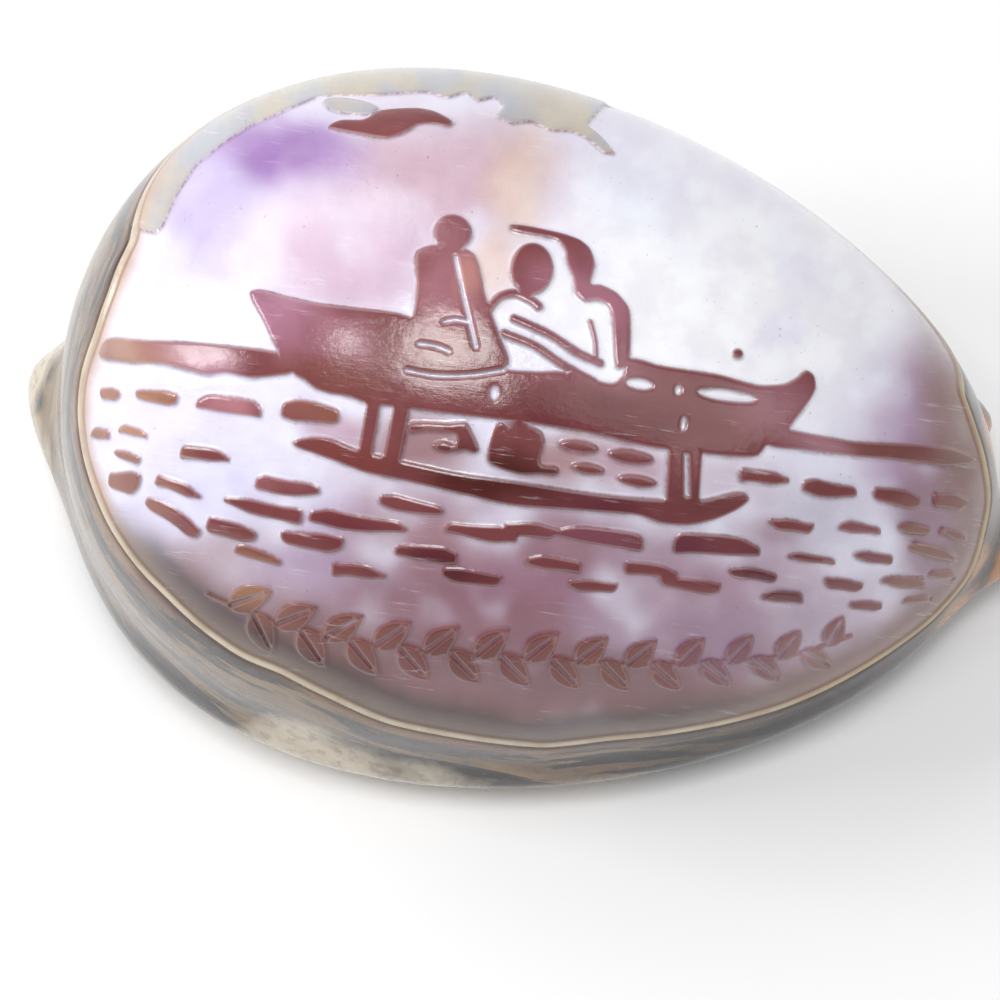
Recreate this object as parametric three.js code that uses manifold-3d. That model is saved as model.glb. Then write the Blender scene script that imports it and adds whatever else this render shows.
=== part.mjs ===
// A carved tiger cowrie: one hollow, egg-shaped sea shell with a toothed slit along its flat base.
// Millimetres, +Z up, the broad spire end towards -X and the narrow end towards +X. The outer lip is the
// -Y side of the slit and the inner lip is the +Y side. The origin is under the middle of the shell, on the
// surface that it rests on.
//
// The whole wall is one sheet of quads: rings run round the shell, and each line across the rings starts at
// the crown, goes down the outside, under the base, up through the slit and on to the roof of the hollow.

import * as THREE from "three";
import { mergeVertices } from "three/addons/utils/BufferGeometryUtils.js";
import Module from "manifold-3d";

// Driving dimensions of the body
const HALF_LENGTH = 38.4; // body without the beaks
const HALF_WIDTH = 27.6;
const HEIGHT = 43;
const WIDEST_Z = 12; // level of the widest ring
const CROWN_X = -7; // the crown stands nearer the broad end
const EGG = 0.19; // how much narrower the +X end is
const UNDER_POWER = 4; // squareness of the corner between side and base
const BASE_REACH = { sides: 0.8, ends: 0.93 }; // where the base begins, as a share of the widest ring
const WALL = 2.3;

// The callus: a swelling along the foot of the side
const CALLUS_Z = 4.5;
const CALLUS_SPREAD = 3.4;
const CALLUS = { outer: 1.8, inner: 0.6, ends: 0.6 };

// The beaks on both sides of the slit's two open ends: their angle from the slit, how steeply they fall
// towards it, and each one's reach in millimetres with how broadly it falls away on the other side
const BEAK_Z = 4.5;
const BEAK_SPREAD = 5.5;
const BACK_BEAKS = { angle: 0.16, near: 0.12, outer: [4.9, 0.26], inner: [3.4, 0.17], roof: 6.5 };
const FRONT_BEAKS = { angle: 0.28, near: 0.17, outer: [4.4, 0.18], inner: [4.6, 0.22], roof: 5.5 };
const ROOF_BLEND = 1;
const CANAL_ANGLE = 0.085; // half the angle that a slit's open end spans
const CANAL_WALL = 2.4; // thickness of its roof

// The slit
const SLIT_HALF_LENGTH = 34.2;
const SLIT_X = -1;
const SLIT_HALF_GAP = 1.95; // between the bare lips
const SLIT_Y = -2.8; // at mid-length the slit lies a little to the outer lip's side
const SLIT_END_Y = { back: 5.2, front: 5.4 }; // and it bends to the inner lip's side at both ends
const SLIT_TURN = { back: 0.18, front: 0.27 }; // how far round, as an angle, its open ends lie
const FLAT_DIP = 0.3; // how far the base would bulge below the flat spots that it rests on

// The teeth
const TEETH = { outer: 23, inner: 21 };
const TEETH_SPAN = 30; // half the length that they fill
const TOOTH_SIZE = { x: 0.7, y: 3.1, z: 2 };
const TOOTH_OVERHANG = 0.5; // how far a tooth reaches past the lip into the slit

// Mesh steps
const STEPS_ROUND = 88;
const END_CROWDING = 0.72; // rings have closer points near the beaks
const STEPS_DOME = 12;
const STEPS_SIDE = 6;
const STEPS_PER_FOLD = 2;
const STEPS_ROOF = 5;

const lerp = (a, b, t) => a + (b - a) * t;
const smooth = (t) => t * t * (3 - 2 * t);
const bell = (u) => Math.exp(-u * u);
const turn = (angle) => Math.atan2(Math.sin(angle), Math.cos(angle)); // the same angle, from -pi to pi

// A point of a level section, where reach is 0 at the crown and 1 at the widest ring.
function section(angle, reach, halfLength = HALF_LENGTH, halfWidth = HALF_WIDTH) {
  const along = Math.cos(angle);
  return [
    CROWN_X * (1 - reach * reach) + halfLength * reach * along,
    halfWidth * reach * Math.sin(angle) * (1 - EGG * reach * along),
  ];
}

// How far the callus stands out: most along the outer lip's side.
function callusAt(angle) {
  const across = Math.sin(angle);
  const side = across < 0 ? CALLUS.outer : CALLUS.inner;
  return lerp(CALLUS.ends, side, smooth(Math.abs(across)));
}

// One end's pair of beaks, in millimetres outwards.
function beakPair(beaks, off) {
  const one = ([reach, far], away) => reach * bell(away / (away < 0 ? beaks.near : far));
  return one(beaks.outer, off - beaks.angle) + one(beaks.inner, -off - beaks.angle);
}

// How open the slit's end is at this angle: 1 in the canal and 0 past its walls.
const canalAt = (off, halfAngle = CANAL_ANGLE) => Math.exp(-(Math.abs(off / halfAngle) ** 4));
const backOf = (angle) => turn(fromSlit(angle) - Math.PI);
const frontOf = (angle) => -turn(fromSlit(angle));

// The angle counted from the slit's own ends: 0 at its front end and pi at its back end.
const slitTurn = (angle) => lerp(SLIT_TURN.back, SLIT_TURN.front, (1 + Math.cos(angle)) / 2) * Math.cos(angle);
const fromSlit = (angle) => angle - slitTurn(angle);

// The same, the other way round.
function withSlit(counted) {
  let angle = counted;
  for (let i = 0; i < 20; i++) angle = counted + slitTurn(angle);
  return angle;
}

// Moves a point of the plain egg out to the callus and the beaks, and up to the canals' roofs. The share
// says how much of the callus and beaks it takes.
function shaped(angle, [x, y], z, share = 1) {
  const callus = share * callusAt(angle) * bell((z - CALLUS_Z) / CALLUS_SPREAD);
  const nose = share * bell((z - BEAK_Z) / BEAK_SPREAD);
  const out = new THREE.Vector2(Math.cos(angle) / HALF_LENGTH, Math.sin(angle) / HALF_WIDTH).normalize();
  const dx = (beakPair(FRONT_BEAKS, frontOf(angle)) - beakPair(BACK_BEAKS, backOf(angle))) * nose;
  const lift = canalLift(angle, z, 0, CANAL_ANGLE);
  return new THREE.Vector3(x + out.x * callus + dx, y + out.y * callus, Math.max(0, z + lift));
}

// How far a point rises to clear the canals, which are covered by some millimetres of shell.
function canalLift(angle, z, cover, halfAngle) {
  const back = canalAt(backOf(angle), halfAngle) * risen(BACK_BEAKS.roof + cover - z);
  const front = canalAt(frontOf(angle), halfAngle) * risen(FRONT_BEAKS.roof + cover - z);
  return back + front;
}

// max(0, u) with a soft corner.
function risen(u) {
  if (u < -ROOF_BLEND) return 0;
  return u > ROOF_BLEND ? u : (u + ROOF_BLEND) ** 2 / (4 * ROOF_BLEND);
}

// The slit runs out to the middle of each end.
function slitMiddle(x) {
  const share = Math.min(1, ((x - SLIT_X) / SLIT_HALF_LENGTH) ** 2);
  return lerp(SLIT_Y, x < SLIT_X ? SLIT_END_Y.back : SLIT_END_Y.front, share);
}

// A point of the slit's edge, which is blunt at both ends, moved outwards by some millimetres.
function slit(angle, out = 0) {
  const counted = fromSlit(angle);
  const x = SLIT_X + (SLIT_HALF_LENGTH + 0.3 * out) * Math.cos(counted);
  return [x, slitMiddle(x) + (SLIT_HALF_GAP + out) * Math.tanh((1.3 * Math.sin(counted)) / CANAL_ANGLE)];
}

// The line from the crown down the outside to the edge of the base.
function outside(angle) {
  const line = [];
  for (let i = 1; i <= STEPS_DOME; i++) {
    const t = (i / STEPS_DOME) * (Math.PI / 2);
    line.push(shaped(angle, section(angle, Math.sin(t)), lerp(WIDEST_Z, HEIGHT, Math.cos(t))));
  }
  const drop = (1 - baseReach(angle) ** UNDER_POWER) ** (1 / UNDER_POWER);
  for (let i = 1; i <= STEPS_SIDE; i++) {
    const down = drop * (i / STEPS_SIDE);
    const reach = (1 - down ** UNDER_POWER) ** (1 / UNDER_POWER);
    line.push(shaped(angle, section(angle, reach), WIDEST_Z * (1 - down)));
  }
  return line;
}

const baseReach = (angle) => lerp(BASE_REACH.ends, BASE_REACH.sides, smooth(Math.abs(Math.sin(fromSlit(angle)))));

// The rest of the line: under the base, round the lip, up through the slit and out over the hollow's floor.
function folds(angle) {
  const edge = section(angle, baseReach(angle));
  const lip = slit(angle);
  const wide = hollow(angle, 1);
  const mix = (a, b, t) => [lerp(a[0], b[0], t), lerp(a[1], b[1], t)];
  const side = smooth((1 + Math.sin(fromSlit(angle))) / 2); // 0 on the outer lip, 1 on the inner lip
  const inside = (t, z) => {
    const [x, y] = mix(lip, wide, t);
    return new THREE.Vector3(x, y, z + canalLift(angle, z, CANAL_WALL, 2 * CANAL_ANGLE));
  };
  return [
    shaped(angle, mix(edge, lip, 0.3), -FLAT_DIP, 0.6),
    shaped(angle, mix(edge, lip, 0.62), -FLAT_DIP, 0.2),
    shaped(angle, mix(edge, lip, 0.86), 0.4, 0),
    shaped(angle, mix(edge, lip, 0.97), 1.3, 0),
    shaped(angle, slit(angle, -0.05), 2.8, 0),
    shaped(angle, slit(angle, lerp(0.2, -0.05, side)), lerp(4.4, 5, side), 0),
    inside(0.1, lerp(6.2, 9, side)),
    inside(0.28, lerp(6.2, 10, side)),
    inside(0.6, lerp(5.2, 6.4, side)),
    inside(0.86, 7.5),
  ];
}

const hollow = (angle, reach) => section(angle, reach, HALF_LENGTH - WALL, HALF_WIDTH - WALL);

// The inside of the dome, up to the roof.
function roof(angle) {
  const line = [];
  for (let i = 0; i < STEPS_ROOF; i++) {
    const t = (1 - i / STEPS_ROOF) * (Math.PI / 2);
    const [x, y] = hollow(angle, Math.sin(t));
    line.push(new THREE.Vector3(x, y, lerp(WIDEST_Z + 1, HEIGHT - WALL, Math.cos(t))));
  }
  return line;
}

// A soft curve through the folds, which starts where the outside ends and stops where the roof begins.
function foldedLine(angle, before, start, end, after) {
  const keys = [before, start, ...folds(angle), end, after];
  const line = [];
  for (let k = 1; k < keys.length - 2; k++) {
    for (let i = 1; i <= STEPS_PER_FOLD; i++) {
      line.push(onCurve(keys[k - 1], keys[k], keys[k + 1], keys[k + 2], i / STEPS_PER_FOLD));
    }
  }
  return line.slice(0, -1);
}

// Catmull-Rom, kept on or above the resting surface.
function onCurve(a, b, c, d, t) {
  const at = (p, q, r, s) =>
    0.5 * (2 * q + (r - p) * t + (2 * p - 5 * q + 4 * r - s) * t * t + (3 * q - p - 3 * r + s) * t * t * t);
  return new THREE.Vector3(at(a.x, b.x, c.x, d.x), at(a.y, b.y, c.y, d.y), Math.max(0, at(a.z, b.z, c.z, d.z)));
}

function wholeLine(angle) {
  const down = outside(angle);
  const up = roof(angle);
  return [...down, ...foldedLine(angle, down.at(-2), down.at(-1), up[0], up[1]), ...up];
}

// The wall of the shell as an indexed mesh, with the crown and the roof's top as its two poles.
function wallMesh() {
  const lines = [];
  for (let i = 0; i < STEPS_ROUND; i++) {
    const even = (2 * Math.PI * i) / STEPS_ROUND;
    lines.push(wholeLine(withSlit(even - (END_CROWDING / 2) * Math.sin(2 * even))));
  }
  const rings = lines[0].length;
  const points = lines.flat();
  const crown = points.push(new THREE.Vector3(CROWN_X, 0, HEIGHT)) - 1;
  const top = points.push(new THREE.Vector3(CROWN_X, 0, HEIGHT - WALL)) - 1;
  const faces = [];
  for (let i = 0; i < STEPS_ROUND; i++) {
    const here = i * rings;
    const next = ((i + 1) % STEPS_ROUND) * rings;
    faces.push(crown, here, next, here + rings - 1, top, next + rings - 1);
    for (let j = 0; j < rings - 1; j++) {
      faces.push(here + j, here + j + 1, next + j, next + j, here + j + 1, next + j + 1);
    }
  }
  const geometry = new THREE.BufferGeometry().setFromPoints(points);
  geometry.setIndex(faces);
  return geometry;
}

// One tooth: a rounded ridge across the lip.
function toothMesh(x, side) {
  const lipY = slitMiddle(x) + side * SLIT_HALF_GAP;
  const geometry = new THREE.SphereGeometry(1, 5, 3);
  geometry.scale(TOOTH_SIZE.x, TOOTH_SIZE.y, TOOTH_SIZE.z);
  geometry.translate(x, lipY + side * (TOOTH_SIZE.y - TOOTH_OVERHANG), TOOTH_SIZE.z + 0.15);
  return geometry;
}

function* teeth() {
  for (const [count, side] of [[TEETH.outer, -1], [TEETH.inner, 1]]) {
    for (let i = 0; i < count; i++) {
      yield toothMesh(SLIT_X + TEETH_SPAN * ((2 * i) / (count - 1) - 1), side);
    }
  }
}

const wasm = await Module();
wasm.setup();

function solid(geometry) {
  for (const name of ["normal", "uv"]) geometry.deleteAttribute(name);
  const merged = mergeVertices(geometry, 1e-4);
  const triVerts = new Uint32Array(merged.index.array);
  return new wasm.Manifold(new wasm.Mesh({ numProp: 3, vertProperties: merged.attributes.position.array, triVerts }));
}

function shellGeometry() {
  let shell = solid(wallMesh());
  for (const tooth of teeth()) shell = shell.add(solid(tooth));
  const { vertProperties, triVerts } = shell.getMesh();
  const geometry = new THREE.BufferGeometry();
  geometry.setAttribute("position", new THREE.BufferAttribute(new Float32Array(vertProperties), 3));
  geometry.setIndex(new THREE.BufferAttribute(triVerts, 1));
  geometry.computeVertexNormals();
  return geometry;
}

// The shell stands over the origin: under the middle of its own box.
function cowrieShell() {
  const geometry = shellGeometry();
  geometry.computeBoundingBox();
  const middle = geometry.boundingBox.getCenter(new THREE.Vector3());
  const finish = new THREE.MeshStandardMaterial({ color: 0xd9c8dc, roughness: 0.22, metalness: 0 });
  const mesh = new THREE.Mesh(geometry, finish);
  mesh.name = "cowrie_shell";
  mesh.position.set(-middle.x, -middle.y, 0);
  return mesh;
}

const part = new THREE.Group();
part.add(cowrieShell());
export default part;
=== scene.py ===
# A tiger cowrie with a carved back, lying on a pale table.
#
# The shell is one closed surface. Its glossy margin, base, slit and hollow follow the same rule as the CAD
# part, at a finer pitch. The back inside the cream rim is meshed along the carving's own outlines, so that
# every raised shape stands out of the etched ground with a clean edge. The teeth are two rows of their own.
#
# The carving was drawn on a flat sheet in millimetres (s to the right along the horizon, t upwards), and it
# is thrown on to the back along straight lines from the viewer.

import math

import bpy
import numpy as np
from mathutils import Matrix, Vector, geometry, kdtree


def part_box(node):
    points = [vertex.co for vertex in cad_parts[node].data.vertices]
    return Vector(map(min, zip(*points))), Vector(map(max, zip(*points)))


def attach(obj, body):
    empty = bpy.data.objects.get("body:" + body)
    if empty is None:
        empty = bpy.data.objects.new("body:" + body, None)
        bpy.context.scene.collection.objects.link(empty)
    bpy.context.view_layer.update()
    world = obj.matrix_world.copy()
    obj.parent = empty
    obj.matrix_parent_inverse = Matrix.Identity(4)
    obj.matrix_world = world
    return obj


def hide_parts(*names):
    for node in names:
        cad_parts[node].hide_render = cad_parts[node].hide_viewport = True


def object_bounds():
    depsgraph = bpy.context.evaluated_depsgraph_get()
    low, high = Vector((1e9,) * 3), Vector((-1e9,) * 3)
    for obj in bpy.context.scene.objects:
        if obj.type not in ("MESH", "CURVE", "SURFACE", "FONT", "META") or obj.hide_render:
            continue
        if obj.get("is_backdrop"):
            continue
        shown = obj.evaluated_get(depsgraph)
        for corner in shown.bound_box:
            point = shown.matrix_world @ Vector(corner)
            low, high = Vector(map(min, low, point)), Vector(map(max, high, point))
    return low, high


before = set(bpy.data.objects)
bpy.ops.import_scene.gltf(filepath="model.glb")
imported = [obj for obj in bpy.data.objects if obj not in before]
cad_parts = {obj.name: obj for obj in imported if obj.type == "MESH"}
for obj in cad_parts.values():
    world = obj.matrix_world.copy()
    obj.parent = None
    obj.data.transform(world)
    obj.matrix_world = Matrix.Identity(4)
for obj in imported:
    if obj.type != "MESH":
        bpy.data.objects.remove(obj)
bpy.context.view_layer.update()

MM = 0.001
HALF_TURN = math.pi

# ---------------------------------------------------------------------------------------------------------
# The shell's form, in millimetres
# ---------------------------------------------------------------------------------------------------------

HALF_LENGTH, HALF_WIDTH, HEIGHT = 38.4, 27.6, 43.0
WIDEST_Z = 12.0
CROWN_X = -7.0
EGG = 0.19
UNDER_POWER = 4
BASE_REACH = {"sides": 0.8, "ends": 0.93}
WALL = 2.3

CALLUS_Z, CALLUS_SPREAD = 4.5, 3.4
CALLUS = {"outer": 1.8, "inner": 0.6, "ends": 0.6}

BEAK_Z, BEAK_SPREAD = 4.5, 5.5
BACK_BEAKS = {"angle": 0.16, "near": 0.12, "outer": (4.9, 0.26), "inner": (3.4, 0.17), "roof": 6.5}
FRONT_BEAKS = {"angle": 0.28, "near": 0.17, "outer": (4.4, 0.18), "inner": (4.6, 0.22), "roof": 5.5}
CANAL_ANGLE, CANAL_WALL = 0.085, 2.4

SLIT_HALF_LENGTH, SLIT_X, SLIT_HALF_GAP, SLIT_Y = 34.2, -1.0, 1.95, -2.8
SLIT_END_Y = {"back": 5.2, "front": 5.4}
SLIT_TURN = {"back": 0.18, "front": 0.27}
FLAT_DIP = 0.3
TEETH_END_Y, TOOTH_FROM_LIP, TOOTH_LEVEL, TOOTH_SIZE = 5.3, 2.6, 2.15, (0.68, 3.1, 2)
TEETH_ROW = 30

COLUMNS = 520
END_CROWDING = 0.4
SIDE_ROWS, FOLD_ROWS, ROOF_ROWS = 20, 4, 12
STEEPNESS = (HEIGHT - WIDEST_Z) * math.pi / 2 / WIDEST_Z  # joins the dome's pitch to the side's


def lerp(a, b, t):
    return a + (b - a) * t


def smooth(t):
    return t * t * (3 - 2 * t)


def step(low, high, value):
    return smooth(np.clip((value - low) / (high - low), 0, 1))


def bell(u):
    return np.exp(-u * u)


def turn(angle):
    return np.arctan2(np.sin(angle), np.cos(angle))


def slit_turn(angle):
    return lerp(SLIT_TURN["back"], SLIT_TURN["front"], (1 + np.cos(angle)) / 2) * np.cos(angle)


def from_slit(angle):
    """The angle counted from the slit's own ends: 0 at its front end and a half turn at its back end."""
    return angle - slit_turn(angle)


def with_slit(counted):
    """The same, the other way round."""
    angle = counted
    for _ in range(20):
        angle = counted + slit_turn(angle)
    return angle


def points(x, y, z):
    return np.stack(np.broadcast_arrays(x, y, z), -1).astype(float)


def section(angle, reach, length=HALF_LENGTH, width=HALF_WIDTH):
    """A point of a level section: reach is 0 at the crown and 1 at the widest ring."""
    along = np.cos(angle)
    x = CROWN_X * (1 - reach * reach) + length * reach * along
    return x, width * reach * np.sin(angle) * (1 - EGG * reach * along)


def beak_pair(beaks, off):
    def one(beak, away):
        return beak[0] * bell(away / np.where(away < 0, beaks["near"], beak[1]))

    return one(beaks["outer"], off - beaks["angle"]) + one(beaks["inner"], -off - beaks["angle"])


def risen(u):
    return np.where(u < -1, 0, np.where(u > 1, u, (u + 1) ** 2 / 4))


def canal_lift(angle, z, cover, half_angle):
    """How far a point rises to clear the slit's open ends."""
    back, front = turn(from_slit(angle) - HALF_TURN), -turn(from_slit(angle))
    rise = np.exp(-(np.abs(back / half_angle) ** 4)) * risen(BACK_BEAKS["roof"] + cover - z)
    return rise + np.exp(-(np.abs(front / half_angle) ** 4)) * risen(FRONT_BEAKS["roof"] + cover - z)


def shaped(angle, xy, z, share=1.0):
    """Moves a point of the plain egg out to the callus and the beaks."""
    x, y = xy
    across = np.sin(angle)
    swell = lerp(CALLUS["ends"], np.where(across < 0, CALLUS["outer"], CALLUS["inner"]),
        smooth(np.abs(across)))
    callus = share * swell * bell((z - CALLUS_Z) / CALLUS_SPREAD)
    nose = share * bell((z - BEAK_Z) / BEAK_SPREAD)
    out_x, out_y = np.cos(angle) / HALF_LENGTH, across / HALF_WIDTH
    size = np.hypot(out_x, out_y)
    counted = from_slit(angle)
    beaks = beak_pair(FRONT_BEAKS, -turn(counted)) - beak_pair(BACK_BEAKS, turn(counted - HALF_TURN))
    lift = canal_lift(angle, z, 0, CANAL_ANGLE)
    return points(x + out_x / size * callus + beaks * nose, y + out_y / size * callus,
        np.maximum(0, z + lift))


def outside(angle, way):
    """The outside, where way is 0 at the crown, 1 at the widest ring and more below it."""
    arc = np.minimum(way, 1) * math.pi / 2
    down = np.clip((way - 1) * STEEPNESS, 0, 0.999)
    reach = np.where(way <= 1, np.sin(arc), (1 - down**UNDER_POWER) ** (1 / UNDER_POWER))
    z = np.where(way <= 1, lerp(WIDEST_Z, HEIGHT, np.cos(arc)), WIDEST_Z * (1 - down))
    return shaped(angle, section(angle, reach), z)


def way_at(z):
    """The way down at which the outside reaches this height."""
    dome = np.arccos(np.clip((z - WIDEST_Z) / (HEIGHT - WIDEST_Z), -1, 1)) * 2 / math.pi
    return np.where(z >= WIDEST_Z, dome, 1 + (WIDEST_Z - z) / WIDEST_Z / STEEPNESS)


# A flat chart of the back, with nearly true lengths near the crown.
CHART = np.array([60.0, 43.0])


def from_chart(uv):
    u, v = (uv / CHART).T
    return outside(np.arctan2(v, u), np.hypot(u, v))


def to_chart(angle, way):
    return np.stack([way * np.cos(angle), way * np.sin(angle)], -1) * CHART


def chart_slopes(uv):
    """How the surface runs as the chart's two coordinates grow."""
    h = 0.02
    du = (from_chart(uv + [h, 0]) - from_chart(uv - [h, 0])) / (2 * h)
    dv = (from_chart(uv + [0, h]) - from_chart(uv - [0, h])) / (2 * h)
    return du, dv


def chart_normals(uv):
    du, dv = chart_slopes(uv)
    n = np.cross(du, dv)
    return n / np.linalg.norm(n, axis=1, keepdims=True)


def moved_on_chart(uv, way3):
    """Chart points after a short walk over the surface, given as a direction in space."""
    du, dv = chart_slopes(uv)
    a, b, c = (du * du).sum(1), (du * dv).sum(1), (dv * dv).sum(1)
    p, q = (du * way3).sum(1), (dv * way3).sum(1)
    det = a * c - b * b
    return uv + np.stack([(c * p - b * q) / det, (a * q - b * p) / det], -1)


# ---------------------------------------------------------------------------------------------------------
# The viewer and the drawing sheet
# ---------------------------------------------------------------------------------------------------------

VIEW_AZ, VIEW_EL = math.radians(-10.3), math.radians(66)
VIEW_DISTANCE = 260.0
LENS, SENSOR, LENS_SHIFT = 115.1, 36, (-0.028, -0.08)
SHEET_TILT = math.radians(7.8)
TARGET = np.array([0, 0, 15.0])
FORWARD = np.array([math.sin(VIEW_AZ) * math.cos(VIEW_EL), math.cos(VIEW_AZ) * math.cos(VIEW_EL),
    -math.sin(VIEW_EL)])
RIGHT = np.array([math.cos(VIEW_AZ), -math.sin(VIEW_AZ), 0])
UP = np.cross(RIGHT, FORWARD)
EYE = TARGET - FORWARD * VIEW_DISTANCE


def on_sheet(place):
    """Where a point in space falls on the drawing sheet."""
    ray = place - EYE
    hit = ray * (VIEW_DISTANCE / (ray @ FORWARD))[..., None] + EYE - TARGET
    a, b = hit @ RIGHT, hit @ UP
    c, s = math.cos(SHEET_TILT), math.sin(SHEET_TILT)
    return np.stack([a * c - b * s, a * s + b * c], -1)


def facing(uv):
    """How squarely the surface faces the viewer."""
    away = EYE - from_chart(uv)
    return (chart_normals(uv) * away).sum(1) / np.linalg.norm(away, axis=1)


def starts():
    ways, angles = np.meshgrid(np.linspace(0.01, 1.1, 70), np.linspace(-HALF_TURN, HALF_TURN, 150))
    uv = to_chart(angles.ravel(), ways.ravel())
    uv = uv[facing(uv) > 0.08]
    return uv, on_sheet(from_chart(uv))


START_UV, START_SHEET = starts()


def thrown(drawn):
    """Chart points of what is drawn on the sheet, by Newton's method."""
    drawn = np.asarray(drawn, float)
    near = [((START_SHEET - p) ** 2).sum(1).argmin() for p in drawn]
    uv = START_UV[near].copy()
    h = 0.02
    for _ in range(7):
        here = on_sheet(from_chart(uv))
        su = (on_sheet(from_chart(uv + [h, 0])) - here) / h
        sv = (on_sheet(from_chart(uv + [0, h])) - here) / h
        det = su[:, 0] * sv[:, 1] - su[:, 1] * sv[:, 0]
        det = np.where(np.abs(det) < 0.05, 0.05, det)
        miss = drawn - here
        move = np.stack([sv[:, 1] * miss[:, 0] - sv[:, 0] * miss[:, 1],
            su[:, 0] * miss[:, 1] - su[:, 1] * miss[:, 0]], -1)
        uv += np.clip(move / det[:, None], -1.5, 1.5)
    return uv


# ---------------------------------------------------------------------------------------------------------
# The carving's outlines, in millimetres on the sheet
# ---------------------------------------------------------------------------------------------------------

chance = np.random.default_rng(11)
PITCH = 0.09  # between the points of a finished outline
raised, cut, pale = [], [], []


def even(line, pitch=PITCH, closed=True):
    """The same line with evenly spaced points."""
    line = np.asarray(line, float)
    if closed:
        line = np.vstack([line, line[:1]])
    run = np.concatenate([[0], np.cumsum(np.linalg.norm(np.diff(line, axis=0), axis=1))])
    count = max(8, int(round(run[-1] / pitch)))
    at = np.linspace(0, run[-1], count + 1)
    at = at[:-1] if closed else at
    return np.stack([np.interp(at, run, line[:, 0]), np.interp(at, run, line[:, 1])], -1)


def curve(keys, closed=True, tension=0.5):
    """A soft curve through the keys."""
    keys = np.asarray(keys, float)
    n = len(keys)
    line = []
    for i in range(n if closed else n - 1):
        a, b, c, d = (keys[k % n] if closed else keys[min(max(k, 0), n - 1)] for k in (i - 1, i, i + 1,
            i + 2))
        reach = np.linalg.norm(c - b)
        ta = (c - a) / max(1e-6, np.linalg.norm(c - a)) * reach * 2 * tension * 0.9
        tb = (d - b) / max(1e-6, np.linalg.norm(d - b)) * reach * 2 * tension * 0.9
        t = np.linspace(0, 1, 9)[:-1, None]
        line.append(
            (2 * t**3 - 3 * t**2 + 1) * b + (t**3 - 2 * t**2 + t) * ta
            + (-2 * t**3 + 3 * t**2) * c + (t**3 - t**2) * tb
        )
    if not closed:
        line.append(keys[-1:])
    return np.vstack(line)


def patch(keys, to=raised, tension=0.4):
    to.append(even(curve(keys, tension=tension)))


def sharp(keys, to=raised):
    to.append(even(keys))


def turned(shape, s, t, angle):
    c, d = math.cos(angle), math.sin(angle)
    return shape @ np.array([[c, d], [-d, c]]) + [s, t]


def oval(s, t, half_length, half_height, lean=0.0, to=raised):
    a = np.linspace(0, 2 * math.pi, 48, endpoint=False)
    shape = np.stack([half_length * np.cos(a), half_height * np.sin(a)], -1)
    to.append(even(turned(shape, s, t, lean)))


def band(keys, half_width, to=raised, ends=(1, 1)):
    """A stroke along a soft curve, with round ends; it may get narrower."""
    line = even(curve(keys, closed=False), 0.15, closed=False)
    along = np.gradient(line, axis=0)
    along /= np.linalg.norm(along, axis=1, keepdims=True)
    side = np.stack([-along[:, 1], along[:, 0]], -1)
    u = np.linspace(0, 1, len(line))[:, None]
    width = half_width * lerp(ends[0], ends[1], u)
    cap = np.linspace(-1, 1, 7)[1:-1, None] * math.pi / 2
    first = line[0] - along[0] * width[0] * np.cos(cap) + side[0] * width[0] * np.sin(cap)
    last = line[-1] + along[-1] * width[-1] * np.cos(cap) - side[-1] * width[-1] * np.sin(cap)
    to.append(even(np.vstack([first, line + side * width, last, (line - side * width)[::-1]])))


def dash(s, t, length, height, rise=0.0):
    """One wave: a short low stroke with blunt, slightly crooked ends."""
    a = np.linspace(0, 2 * math.pi, 40, endpoint=False)
    c, d = np.cos(a), np.sin(a)
    bow, taper, wobble, phase = chance.uniform([-0.1, -0.35, 0.02, 0], [0.2, 0.35, 0.06, 6.3])
    x = length / 2 * np.sign(c) * np.abs(c) ** 0.7 * (1 + wobble * np.sin(3 * a + phase))
    y = (
        height / 2 * np.sign(d) * np.abs(d) ** 0.55 * (1 + taper * c)
        * (1 + 2 * wobble * np.sin(5 * a + phase))
    )
    y += bow * height * (1 - (2 * x / length) ** 2)
    raised.append(even(turned(np.stack([x, y], -1), s, t, math.atan2(rise, length))))


def leaf(s, t, length, width, angle):
    """One leaf with a sunk midrib."""
    x = np.linspace(-1, 1, 25)
    half = width / 2 * (1 - x * x) ** 0.75 * (1 - 0.28 * x)
    rim = np.vstack([np.stack([x, half], -1), np.stack([x, -half], -1)[-2:0:-1]])
    shape = rim * [length / 2, 1]
    raised.append(even(turned(shape, s, t, angle)))
    spine = turned(np.array([[-0.42 * length, 0], [0.3 * length, 0]]), s, t, angle)
    band(np.linspace(spine[0], spine[1], 4), 0.14, to=cut, ends=(1.1, 0.6))


# The canoe
patch([(-23.9, 7.2), (-23.1, 7.6), (-21, 7.35), (-18.1, 7.15), (-15.1, 7.2), (-11.6, 7.2), (-9, 6.6),
       (-5, 5), (-2.7, 3.9), (0, 4), (2, 4.3), (4.3, 4.1), (6.4, 3.9), (7.1, 4.6), (7.5, 6.1), (9.9, 5.9),
       (12.5, 5.85), (15, 5.8), (18.1, 5.4), (20.4, 5.8), (21.2, 6.4), (21.9, 7.1), (22.6, 6.8),
       (22.9, 5.8), (22.6, 4.8), (21.6, 3), (21.1, 2.1), (19.6, 0.6), (18.9, -0.4), (16.9, -0.7),
       (14.6, -0.8), (10.1, -0.85), (5, -0.4), (0, -0.3), (-6.5, -0.4), (-13.2, -0.45), (-14.8, -0.1),
       (-16.1, -0.1), (-17.5, 0.15), (-18.5, 0.75), (-19.4, 1.1), (-20.9, 2.7), (-22.6, 5.2)])
for s, t, half, high in [
    (8.6, 4.15, 1.1, 0.42), (11.8, 4.1, 0.25, 0.42), (15.8, 4.2, 2.4, 0.46), (12.6, 1.4, 0.2, 0.6),
    (-3, 1.8, 0.36, 0.6),
]:
    oval(s, t, half, high, to=cut)

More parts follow.
